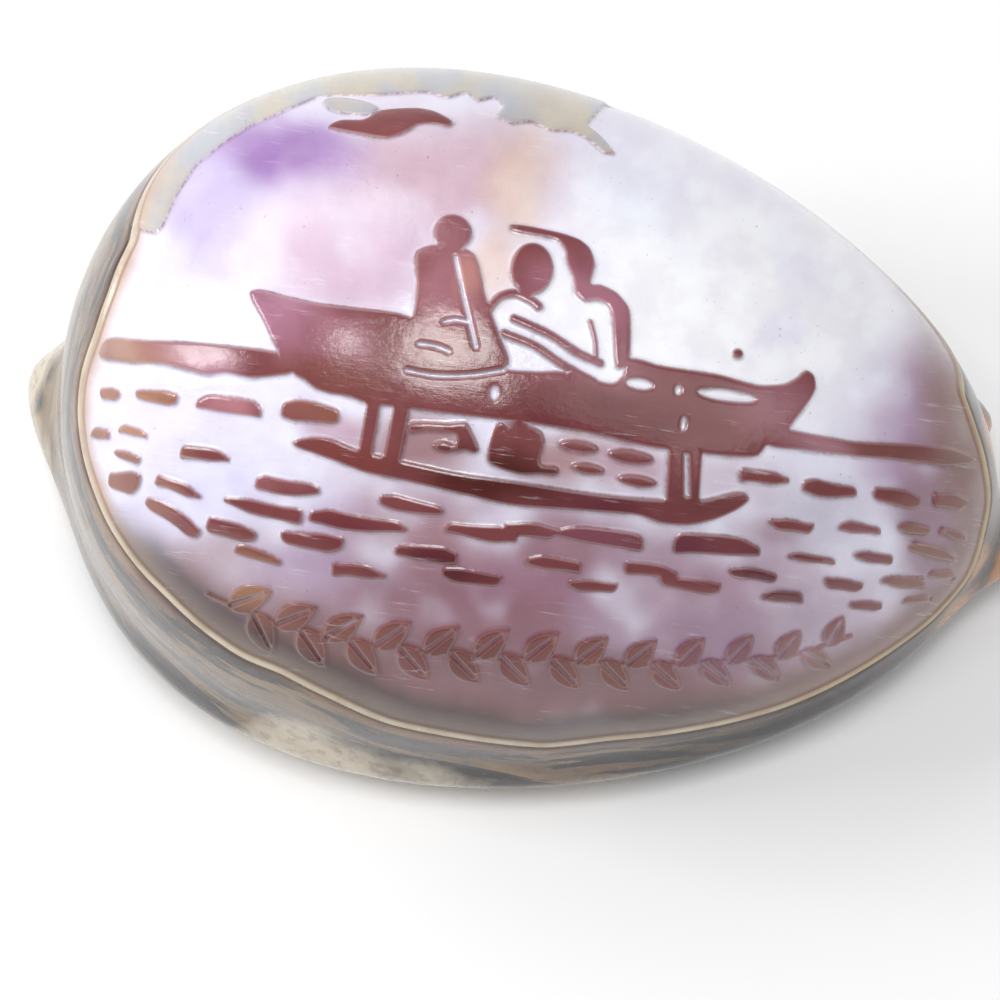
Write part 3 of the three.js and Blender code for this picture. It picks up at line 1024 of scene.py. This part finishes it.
def new_material(name):
    material = bpy.data.materials.new(name)
    material.use_nodes = True
    tree = material.node_tree
    tree.nodes.clear()
    make = Maker(tree)
    surface = make.add("ShaderNodeBsdfPrincipled")
    make.add("ShaderNodeOutputMaterial", {"Surface": surface.outputs[0]})
    return material, make, surface


def back_material():
    """The etched and carved back, inside the cream rim."""
    material, make, surface = new_material("Carved back")
    sheet = make.fact("sheet")["Vector"]
    edge, rim = make.fact("edge")["Fac"], make.fact("rim")["Fac"]
    left, crease_shade, cream = (make.fact(n)["Fac"] for n in ("left_standing", "crease_shade", "cream"))
    place = make.group(WANDERING, Place=sheet, Amount=4.5, Scale=0.1)["Place"]

    ground = painted(make, place, colour(232, 230, 246), [
        ((4, -15), (34, 11), colour(166, 126, 146), 1.0),
        ((2, -21), (40, 6), colour(140, 98, 104), 0.9),
        ((-27, -8), (9, 9), colour(226, 222, 246), 1.0),
        ((-9, 19), (13, 6), colour(206, 176, 190), 0.95),
        ((-23.5, 19), (8, 5), colour(160, 120, 184), 0.95),
        ((-28, 13), (5, 6), colour(198, 184, 226), 0.85),
        ((-16, 11), (9, 6), colour(208, 180, 200), 0.95),
        ((-3.5, 18), (3.5, 7), colour(220, 194, 180), 0.85),
        ((-4.5, 12), (2.4, 4), colour(218, 180, 166), 0.7),
        ((14, 12), (19, 12), colour(250, 251, 255), 1.0),
        ((6, 20), (6, 4), colour(240, 244, 255), 0.8),
        ((32, 3.5), (5.5, 9), colour(176, 144, 176), 0.9),
        ((34.5, 2), (4, 8), colour(140, 104, 108), 0.95),
        ((-26, -4), (10, 5), colour(230, 226, 250), 0.9),
        ((-9, -3), (6, 3), colour(156, 112, 116), 0.9),
        ((3, -2.8), (5, 2.4), colour(168, 126, 128), 0.9),
        ((-16, -3), (4, 2), colour(186, 148, 167), 0.7),
        ((9, -2.5), (4, 2.2), colour(190, 158, 172), 0.9),
        ((18, -3), (5, 2.5), colour(212, 200, 214), 0.9),
        ((26, -5), (7, 4), colour(206, 202, 216), 0.9),
        ((34, -5), (3.6, 7), colour(152, 122, 138), 0.95),
        ((-22, -9), (8, 4), colour(224, 222, 246), 0.8),
        ((-16, -10), (6, 3), colour(206, 192, 218), 0.8),
        ((-8, -11), (7, 4.5), colour(166, 128, 138), 0.9),
        ((4, -10), (6, 3), colour(162, 126, 138), 0.9),
        ((11, -10), (4, 2.4), colour(182, 158, 176), 0.8),
        ((20, -7), (5, 1.6), colour(168, 138, 152), 0.7),
        ((-16, -14.5), (6, 3), colour(186, 166, 192), 0.8),
        ((-8, -15.5), (6, 4), colour(150, 112, 124), 0.9),
        ((1, -16.5), (5, 4), colour(148, 104, 116), 0.9),
        ((10, -15.5), (5, 3.5), colour(184, 162, 184), 0.9),
        ((18, -15), (5, 3), colour(160, 132, 156), 0.9),
        ((25, -13), (5, 3), colour(184, 166, 184), 0.9),
        ((-24, -14.5), (4, 3), colour(186, 166, 178), 0.9),
        ((-12, -20.5), (8, 2.6), colour(138, 104, 108), 0.9),
        ((8, -20.5), (14, 2.8), colour(134, 98, 104), 0.9),
    ])

    motif = painted(make, place, colour(124, 66, 68), [
        ((-21, 5.5), (5, 3.5), colour(168, 114, 138), 0.95),
        ((-16, 4.5), (5, 3), colour(158, 106, 120), 0.85),
        ((-15, 1.5), (6, 1.8), colour(124, 70, 64), 0.85),
        ((-8, 11), (4.5, 6), colour(164, 110, 120), 0.9),
        ((-6.3, 11), (1.4, 3), colour(190, 136, 124), 0.6),
        ((-8, 4.5), (4, 2), colour(140, 98, 88), 0.7),
        ((4, 11), (7, 5.5), colour(164, 110, 126), 0.95),
        ((4, 5), (6, 2.5), colour(148, 94, 106), 0.8),
        ((5, 1.3), (11, 2.8), colour(108, 46, 50), 0.95),
        ((20, 4), (4.5, 3.4), colour(150, 98, 108), 0.9),
        ((-27, 1.5), (7, 2), colour(180, 134, 148), 0.9),
        ((-34, 1.3), (3, 2), colour(180, 146, 132), 0.9),
        ((24, 1.3), (3.5, 1.6), colour(168, 122, 132), 0.9),
        ((30, 1.4), (4, 1.6), colour(124, 76, 74), 0.9),
        ((35, 1.6), (2.5, 1.6), colour(112, 74, 58), 0.9),
        ((-14, -5), (4, 2), colour(122, 60, 56), 0.9),
        ((-2, -5), (8, 3.2), colour(78, 26, 22), 0.95),
        ((8, -6), (5, 1.8), colour(98, 42, 52), 0.9),
        ((15, -5), (4, 2), colour(104, 52, 54), 0.9),
        ((-24, -2.3), (5, 2), colour(180, 122, 130), 0.9),
        ((-17.6, -2), (3.5, 1.6), colour(142, 88, 78), 0.9),
        ((-32, -5), (5, 9), colour(176, 130, 104), 0.9),
        ((-19, -8), (5, 2), colour(158, 102, 108), 0.9),
        ((-12, -10.5), (6, 2), colour(114, 50, 56), 0.9),
        ((-6, -12.5), (6, 3), colour(92, 34, 44), 0.9),
        ((7, -9), (5, 2), colour(126, 72, 88), 0.9),
        ((16, -8.3), (5, 2), colour(106, 50, 64), 0.9),
        ((22, -10.5), (5, 2.5), colour(98, 44, 54), 0.9),
        ((28, -5), (5, 3), colour(148, 102, 108), 0.8),
        ((33, -7), (4, 6), colour(134, 92, 78), 0.95),
        ((-22, -17), (6, 4), colour(154, 108, 72), 0.95),
        ((-12, -19), (5, 3), colour(120, 66, 46), 0.95),
        ((-2, -19.5), (7, 3), colour(106, 50, 40), 0.95),
        ((9, -19), (6, 3), colour(118, 64, 50), 0.95),
        ((19, -17.5), (5, 3), colour(124, 76, 90), 0.9),
        ((26, -15.5), (4, 3), colour(146, 104, 104), 0.9),
        ((-14, 22.3), (6, 2.4), colour(134, 76, 78), 0.9),
    ])
    cloud = make.mix(make.span(make.noise(sheet, 0.22, 3.0), 0.38, 0.62), colour(196, 186, 168),
        colour(176, 178, 188))
    motif = make.mix(make.fact("pale")["Fac"], motif, cloud)
    both = make.mix(left, ground, motif)

    # Layers of the shell come out in belts where the etching runs up to the rim.
    place_xyz = make.add("ShaderNodeSeparateXYZ", {0: place}).outputs
    ragged = make.times(make.minus(make.noise(sheet, 0.16, 4.0), 0.5), 3.0)
    near_rim = make.plus(rim, ragged)
    low = make.span(place_xyz["Y"], -16.0, -10.0, 1.0, 0.0)
    right = make.span(place_xyz["X"], 14.0, 30.0)
    brown = make.times(make.span(near_rim, 3.5, 9.0, 1.0, 0.0),
        make.math("MAXIMUM", low, make.times(right, cream)))
    brown_tint = make.mix(make.span(near_rim, 3.0, 7.0), colour(56, 22, 14), colour(116, 66, 54))
    brown_tint = make.mix(right, brown_tint, colour(128, 88, 74))
    both = make.mix(make.times(brown, 0.88), both, brown_tint)
    belt = make.mix(low, colour(196, 166, 146), colour(128, 112, 100))
    belt = make.mix(right, belt, colour(146, 112, 98))
    reach = make.plus(2.8, make.times(low, 1.0))
    belt_mask = make.add("ShaderNodeMapRange",
        {"Value": near_rim, "From Min": 0.8, "From Max": reach, "To Min": 0.95, "To Max": 0.0})
    both = make.mix(make.times(belt_mask.outputs[0], make.math("MAXIMUM", cream, low)), both, belt)

    # Painted shade in the creases, a painted highlight along the raised edges, mottling, and fine scratches
    # with a painted streaky highlight
    # Painted shade in the creases, made patchy by noise
    crease_shade = make.times(crease_shade, make.span(make.noise(sheet, 0.5, 3.0), 0.35, 0.65, 0.15, 0.7))
    both = make.mix(crease_shade, both, colour(92, 52, 54))
    # A painted highlight along the shoulder of every raised shape
    edge_highlight = make.times(make.span(make.math("ABSOLUTE", make.minus(edge, 0.14)), 0.0, 0.1, 1.0, 0.0), 0.18)
    both = make.mix(edge_highlight, both, colour(214, 176, 178))
    cloudy = make.noise(sheet, 0.3, 3.0, 0.5)
    both = make.mix(0.2, both, make.mix(make.span(cloudy, 0.35, 0.65), colour(205, 190, 200),
        colour(255, 255, 255)), "MULTIPLY")
    # Fine scratches: their height goes to the bump, and their near-white streaks in the colour are a painted
    # streaky highlight
    scratches_and_glare = make.group(SCRATCHES, Place=sheet, Stretch=(0.22, 2.4, 1), Scale=0.9)
    both = make.mix(make.times(scratches_and_glare["Value"], 0.3), both, colour(250, 245, 250))
    pits = make.group(BLOTCHES, Place=sheet, Scale=2.6, Cover=0.06, Softness=0.03)["Mask"]
    both = make.mix(make.times(pits, 0.35), both, colour(110, 80, 100))

    # The cream rim
    rim_line = make.times(make.span(rim, 0.4, 0.75, 1.0, 0.0), cream)
    rim_tint = make.mix(right, colour(206, 192, 172), colour(196, 178, 142))
    rim_tint = make.mix(make.span(make.noise(sheet, 0.35, 3.0), 0.4, 0.7, 0.0, 0.7), rim_tint,
        colour(178, 160, 134))
    both = make.mix(rim_line, both, rim_tint)
    gap = make.times(make.span(make.math("ABSOLUTE", make.minus(rim, 0.85)), 0.05, 0.25, 0.35, 0.0), cream)
    both = make.mix(gap, both, colour(112, 74, 58))

    make.fill(surface, "Base Color", both)
    make.fill(surface, "Roughness", make.plus(0.12, make.times(make.noise(sheet, 0.9, 4.0), 0.14)))
    height = make.plus(make.times(scratches_and_glare["Height"], 0.6), make.times(make.noise(sheet, 1.6, 4.0), 0.6))
    bump = make.add("ShaderNodeBump", {"Strength": 0.35, "Distance": 0.00012, "Height": height})
    make.fill(surface, "Normal", bump.outputs[0])
    finish_surface(surface, subsurface=0.1, coat=0.1)
    return material


def finish_surface(surface, subsurface, coat):
    surface.inputs["IOR"].default_value = 1.52
    surface.inputs["Subsurface Weight"].default_value = subsurface
    surface.inputs["Subsurface Radius"].default_value = (1.0, 0.7, 0.75)
    surface.inputs["Subsurface Scale"].default_value = 0.0015
    surface.inputs["Coat Weight"].default_value = coat
    surface.inputs["Coat Roughness"].default_value = 0.08


def margin_material():
    """The shell's own glossy surface: the spotted margin, the pale base and the lilac hollow."""
    material, make, surface = new_material("Spotted margin and base")
    metres = make.add("ShaderNodeTexCoord").outputs["Object"]
    body = make.vector("SCALE", metres, 1000.0)
    rim, fold = make.fact("rim")["Fac"], make.fact("fold")["Fac"]
    xyz = make.add("ShaderNodeSeparateXYZ", {0: body}).outputs
    # Growth runs along the rim, so the pattern is stretched that way.
    round_about = make.vector("NORMALIZE", make.vector("MULTIPLY", body, (1 / 38.4, 1 / 27.6, 0.0)))
    flat = make.vector("ADD", make.vector("SCALE", round_about, 10.0),
        make.add("ShaderNodeCombineXYZ", {"Z": rim}).outputs[0])
    ragged = make.group(WANDERING, Place=flat, Amount=1.6, Scale=0.3)["Place"]
    out = make.plus(make.times(rim, -1.0), make.times(make.minus(make.noise(flat, 0.25, 3.0), 0.5), 5.0))

    brown = make.mix(make.span(out, 0.5, 3.0), colour(100, 56, 30), colour(110, 90, 70))
    left_side = make.span(xyz["X"], -30.0, -10.0, 1.0, 0.0)
    right_side = make.span(xyz["X"], 8.0, 26.0)
    brown = make.mix(make.times(make.span(make.noise(ragged, 0.35, 4.0), 0.45, 0.6), 0.6), brown,
        colour(150, 124, 92))
    long_way = make.vector("MULTIPLY", ragged, (0.6, 0.6, 1.2))
    large = make.group(BLOTCHES, Place=long_way, Scale=0.42, Cover=0.54, Softness=0.06)["Mask"]
    brown = make.mix(make.times(large, make.span(out, 0.6, 2.0, 0.25, 0.95)), brown, colour(24, 22, 24))
    brown = make.mix(make.times(right_side, 0.75), brown, colour(34, 30, 30))
    small = make.group(BLOTCHES, Place=body, Scale=0.75, Cover=0.35, Softness=0.08)["Mask"]
    brown = make.mix(make.times(small, 0.45), brown, colour(78, 74, 72))
    streak = make.group(SCRATCHES, Place=flat, Stretch=(0.5, 0.5, 3.0), Scale=0.8)["Value"]
    brown = make.mix(make.times(streak, 0.22), brown, colour(176, 156, 128))
    ends = make.math("ABSOLUTE", make.plus(xyz["X"], 2.0))
    orange = make.times(make.span(ends, 34.0, 40.0), make.span(make.noise(body, 0.16, 2.0), 0.42, 0.58))
    end_tint = make.mix(make.span(xyz["X"], -5.0, 5.0), colour(170, 146, 112), colour(196, 128, 54))
    brown = make.mix(make.times(orange, 0.85), brown, end_tint)

    pale = make.mix(make.noise(flat, 0.6, 3.0), colour(214, 202, 184), colour(188, 174, 150))
    dots = make.group(BLOTCHES, Place=body, Scale=1.0, Cover=0.46, Softness=0.14)["Mask"]
    dots = make.times(dots, make.span(xyz["Z"], 2.5, 6.0))
    pale = make.mix(make.times(dots, 0.42), pale, colour(128, 120, 112))
    uneven = make.times(make.minus(make.noise(body, 0.14, 3.0), 0.5), 12.0)
    turn_pale = make.plus(make.plus(6.0, uneven),
        make.times(make.math("MAXIMUM", left_side, right_side), 16.0))
    cover = make.add("ShaderNodeMapRange",
        {"Value": out, "From Min": turn_pale, "From Max": make.plus(turn_pale, 4.0), "To Min": 1.0,
        "To Max": 0.0})
    height = make.plus(xyz["Z"], make.times(make.noise(body, 0.12, 3.0), 3.0))
    skin = make.mix(make.times(cover.outputs[0], make.span(height, 2.4, 4.6)), pale, brown)
    line = make.span(make.math("ABSOLUTE", make.plus(rim, 0.3)), 0.08, 0.3, 0.8, 0.0)
    skin = make.mix(line, skin, colour(70, 48, 40))
    edge = make.span(rim, -0.16, 0.0)
    skin = make.mix(edge, skin, colour(186, 170, 146))
    skin = make.mix(fold, skin, colour(196, 176, 206))

    make.fill(surface, "Base Color", skin)
    make.fill(surface, "Roughness", make.plus(0.16, make.times(make.noise(body, 0.6, 3.0), 0.18)))
    height = make.plus(make.noise(flat, 1.2, 4.0), make.times(streak, 0.4))
    bump = make.add("ShaderNodeBump", {"Strength": 0.3, "Distance": 0.00015, "Height": height})
    make.fill(surface, "Normal", bump.outputs[0])
    finish_surface(surface, subsurface=0.08, coat=0.5)
    return material


def teeth_material():
    material, make, surface = new_material("Teeth")
    body = make.vector("SCALE", make.add("ShaderNodeTexCoord").outputs["Object"], 1000.0)
    tint = make.mix(make.noise(body, 0.5, 3.0), colour(240, 234, 222), colour(222, 208, 188))
    make.fill(surface, "Base Color", tint)
    make.fill(surface, "Roughness", 0.2)
    finish_surface(surface, subsurface=0.1, coat=0.4)
    return material


BACK, MARGIN, TEETH = back_material(), margin_material(), teeth_material()

shell = new_object("carved_cowrie", shell_place + SHIFT, shell_faces)
for material in (BACK, MARGIN):
    shell.data.materials.append(material)


def give_facts(mesh):
    holder = mesh.attributes.new("sheet", "FLOAT_VECTOR", "POINT")
    sheet = np.column_stack([shell_sheet, np.zeros(len(shell_sheet))])
    holder.data.foreach_set("vector", sheet.ravel().astype(np.float32))
    for name, values in shell_facts.items():
        holder = mesh.attributes.new(name, "FLOAT", "POINT")
        holder.data.foreach_set("value", values.astype(np.float32))
    corners = np.zeros(len(mesh.loops), np.int32)
    mesh.loops.foreach_get("vertex_index", corners)
    starts_at = np.zeros(len(mesh.polygons), np.int32)
    mesh.polygons.foreach_get("loop_start", starts_at)
    lowest = np.minimum.reduceat(shell_facts["rim"][corners], starts_at)
    highest = np.maximum.reduceat(shell_facts["rim"][corners], starts_at)
    outside_rim = (lowest + highest < 0).astype(np.int32)
    mesh.polygons.foreach_set("material_index", outside_rim)


give_facts(shell.data)

# ---------------------------------------------------------------------------------------------------------
# The teeth
# ---------------------------------------------------------------------------------------------------------


def teeth_tree():
    """A row of smooth ridges along one curved lip."""
    tree = bpy.data.node_groups.new("Teeth along a lip", "GeometryNodeTree")
    inputs = [
        ("Teeth", "NodeSocketInt", 23), ("Row middle", "NodeSocketFloat", 0.0),
        ("Row half length", "NodeSocketFloat", 0.03),
        ("Slit half length", "NodeSocketFloat", 0.0342), ("Slit bow", "NodeSocketFloat", -0.008),
        ("Slit ends", "NodeSocketFloat", 0.005), ("Lip", "NodeSocketFloat", 0.002),
        ("Level", "NodeSocketFloat", 0.002),
        ("Tooth size", "NodeSocketVector", (0.0007, 0.003, 0.002)), ("Unevenness", "NodeSocketFloat", 0.1),
        ("Seed", "NodeSocketInt", 3), ("Finish", "NodeSocketMaterial", None),
    ]
    for name, kind, start in inputs:
        socket = tree.interface.new_socket(name, in_out="INPUT", socket_type=kind)
        if start is not None:
            socket.default_value = start
    tree.interface.new_socket("Geometry", in_out="OUTPUT", socket_type="NodeSocketGeometry")
    make = Maker(tree)
    given = tree.nodes.new("NodeGroupInput").outputs
    result = tree.nodes.new("NodeGroupOutput")

    def end(sign):
        x = make.plus(given["Row middle"], make.times(given["Row half length"], sign))
        return make.add("ShaderNodeCombineXYZ", {"X": x}).outputs[0]

    line = make.add("GeometryNodeMeshLine", {"Count": given["Teeth"], "Start Location": end(-1.0)},
        mode="END_POINTS")
    make.fill(line, 3, end(1.0))
    x = make.add("ShaderNodeSeparateXYZ",
        {0: make.add("GeometryNodeInputPosition").outputs[0]}).outputs["X"]
    share = make.math("DIVIDE", make.minus(x, given["Row middle"]), given["Slit half length"])
    bow = make.times(given["Slit bow"], make.minus(1.0, make.times(share, share)))
    spot = make.add("ShaderNodeCombineXYZ",
        {"X": x, "Y": make.plus(make.plus(bow, given["Slit ends"]), given["Lip"]), "Z": given["Level"]})
    placed = make.add("GeometryNodeSetPosition", {"Geometry": line.outputs[0], "Position": spot.outputs[0]})
    ball = make.add("GeometryNodeMeshUVSphere", {"Segments": 20, "Rings": 12, "Radius": 1.0})
    tooth = make.add("GeometryNodeTransform", {"Geometry": ball.outputs[0], "Scale": given["Tooth size"]})
    low = make.minus(1.0, given["Unevenness"])
    high = make.plus(1.0, given["Unevenness"])
    size = make.add("FunctionNodeRandomValue", {2: low, 3: high, "Seed": given["Seed"]}, data_type="FLOAT")
    sizes = make.add("ShaderNodeCombineXYZ", {"X": size.outputs[1], "Y": size.outputs[1], "Z": 1.0})
    copies = make.add("GeometryNodeInstanceOnPoints",
        {"Points": placed.outputs[0], "Instance": tooth.outputs[0], "Scale": sizes.outputs[0]})
    real = make.add("GeometryNodeRealizeInstances", {"Geometry": copies.outputs[0]})
    soft = make.add("GeometryNodeSetShadeSmooth", {"Geometry": real.outputs[0]})
    dressed = make.add("GeometryNodeSetMaterial",
        {"Geometry": soft.outputs[0], "Material": given["Finish"]})
    tree.links.new(dressed.outputs[0], result.inputs[0])
    return tree


TEETH_TREE = teeth_tree()


def lip_teeth(name, count, way):
    made = bpy.data.objects.new(name, bpy.data.meshes.new(name))
    bpy.context.scene.collection.objects.link(made)
    modifier = made.modifiers.new("Teeth", "NODES")
    modifier.node_group = TEETH_TREE
    middle = (SLIT_X + SHIFT[0]) * MM
    wanted = {
        "Teeth": count, "Row middle": float(middle), "Row half length": TEETH_ROW * MM,
        "Slit half length": SLIT_HALF_LENGTH * MM, "Slit bow": (SLIT_Y - TEETH_END_Y) * MM,
        "Slit ends": float((TEETH_END_Y + SHIFT[1]) * MM),
        "Lip": way * (SLIT_HALF_GAP + TOOTH_FROM_LIP) * MM, "Level": TOOTH_LEVEL * MM,
        "Tooth size": tuple(side * MM for side in TOOTH_SIZE), "Unevenness": 0.06, "Seed": 3 + count,
        "Finish": TEETH,
    }
    for item in TEETH_TREE.interface.items_tree:
        if item.item_type == "SOCKET" and item.in_out == "INPUT":
            modifier[item.identifier] = wanted[item.name]
    seen = made.evaluated_get(bpy.context.evaluated_depsgraph_get())
    plain = bpy.data.meshes.new_from_object(seen)
    plain.name = name
    made.modifiers.clear()
    made.data = plain
    return made


outer_teeth = lip_teeth("outer_lip_teeth", 23, -1)
inner_teeth = lip_teeth("inner_lip_teeth", 21, 1)

for piece in (shell, outer_teeth, inner_teeth):
    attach(piece, "root")
    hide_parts("cowrie_shell")

# ---------------------------------------------------------------------------------------------------------
# The table, the light and the camera
# ---------------------------------------------------------------------------------------------------------


TABLE_HALF_WIDTH = 1500


def floor():
    w = TABLE_HALF_WIDTH
    made = new_object("table", [(-w, -w, 0), (w, -w, 0), (w, w, 0), (-w, w, 0)], [(0, 1, 2, 3)])
    material, make, surface = new_material("Pale table")
    make.fill(surface, "Base Color", (0.88, 0.88, 0.89, 1))
    make.fill(surface, "Roughness", 0.6)
    surface.inputs["Specular IOR Level"].default_value = 0.2
    made.data.materials.append(material)
    made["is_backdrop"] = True


def lamp(name, azimuth, elevation, distance, width, height, power, tint=(1, 1, 1), spin=0.0):
    """A soft rectangular light, aimed at the shell; azimuth 0 is the viewer's side and 90 is +X."""
    a, e = math.radians(azimuth), math.radians(elevation)
    way = Vector((math.sin(a) * math.cos(e), -math.cos(a) * math.cos(e), math.sin(e)))
    data = bpy.data.lights.new(name, "AREA")
    data.shape, data.size, data.size_y, data.energy, data.color = "RECTANGLE", width, height, power, tint
    made = bpy.data.objects.new(name, data)
    made.location = way * distance + Vector((0, 0, 0.03))
    made.rotation_euler = way.to_track_quat("Z", "Y").to_euler()
    made.rotation_euler.rotate_axis("Z", spin)
    bpy.context.scene.collection.objects.link(made)
    return made


def camera():
    data = bpy.data.cameras.new("camera")
    data.lens, data.sensor_width, data.clip_start = LENS, SENSOR, 0.01
    made = bpy.data.objects.new("camera", data)
    data.shift_x, data.shift_y = LENS_SHIFT
    made.location = Vector((EYE + SHIFT) * MM)
    made.rotation_euler = Vector(FORWARD).to_track_quat("-Z", "Y").to_euler()
    bpy.context.scene.collection.objects.link(made)
    bpy.context.scene.camera = made


def light():
    world = bpy.data.worlds.new("room")
    world.use_nodes = True
    world.node_tree.nodes["Background"].inputs["Color"].default_value = (1, 1, 1, 1)
    world.node_tree.nodes["Background"].inputs["Strength"].default_value = 0.22
    bpy.context.scene.world = world
    for i in range(3):
        for j in range(2):
            lamp(f"window pane {i}{j}", -92 + 8.5 * i, 21 + 10 * j, 0.6, 0.07, 0.085, 0.26)
    lamp("ceiling light", 0, 80, 0.6, 0.19, 0.24, 1.7)
    lamp("ceiling light, far", -60, 66, 0.7, 0.1, 0.06, 0.3)
    lamp("broad sky", -130, 40, 1.6, 1.3, 1.3, 10.0)
    lamp("room fill", 75, 50, 1.6, 1.0, 1.0, 5.0)
    bpy.context.scene.view_settings.view_transform = "Standard"


floor()
camera()
light()

low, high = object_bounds()
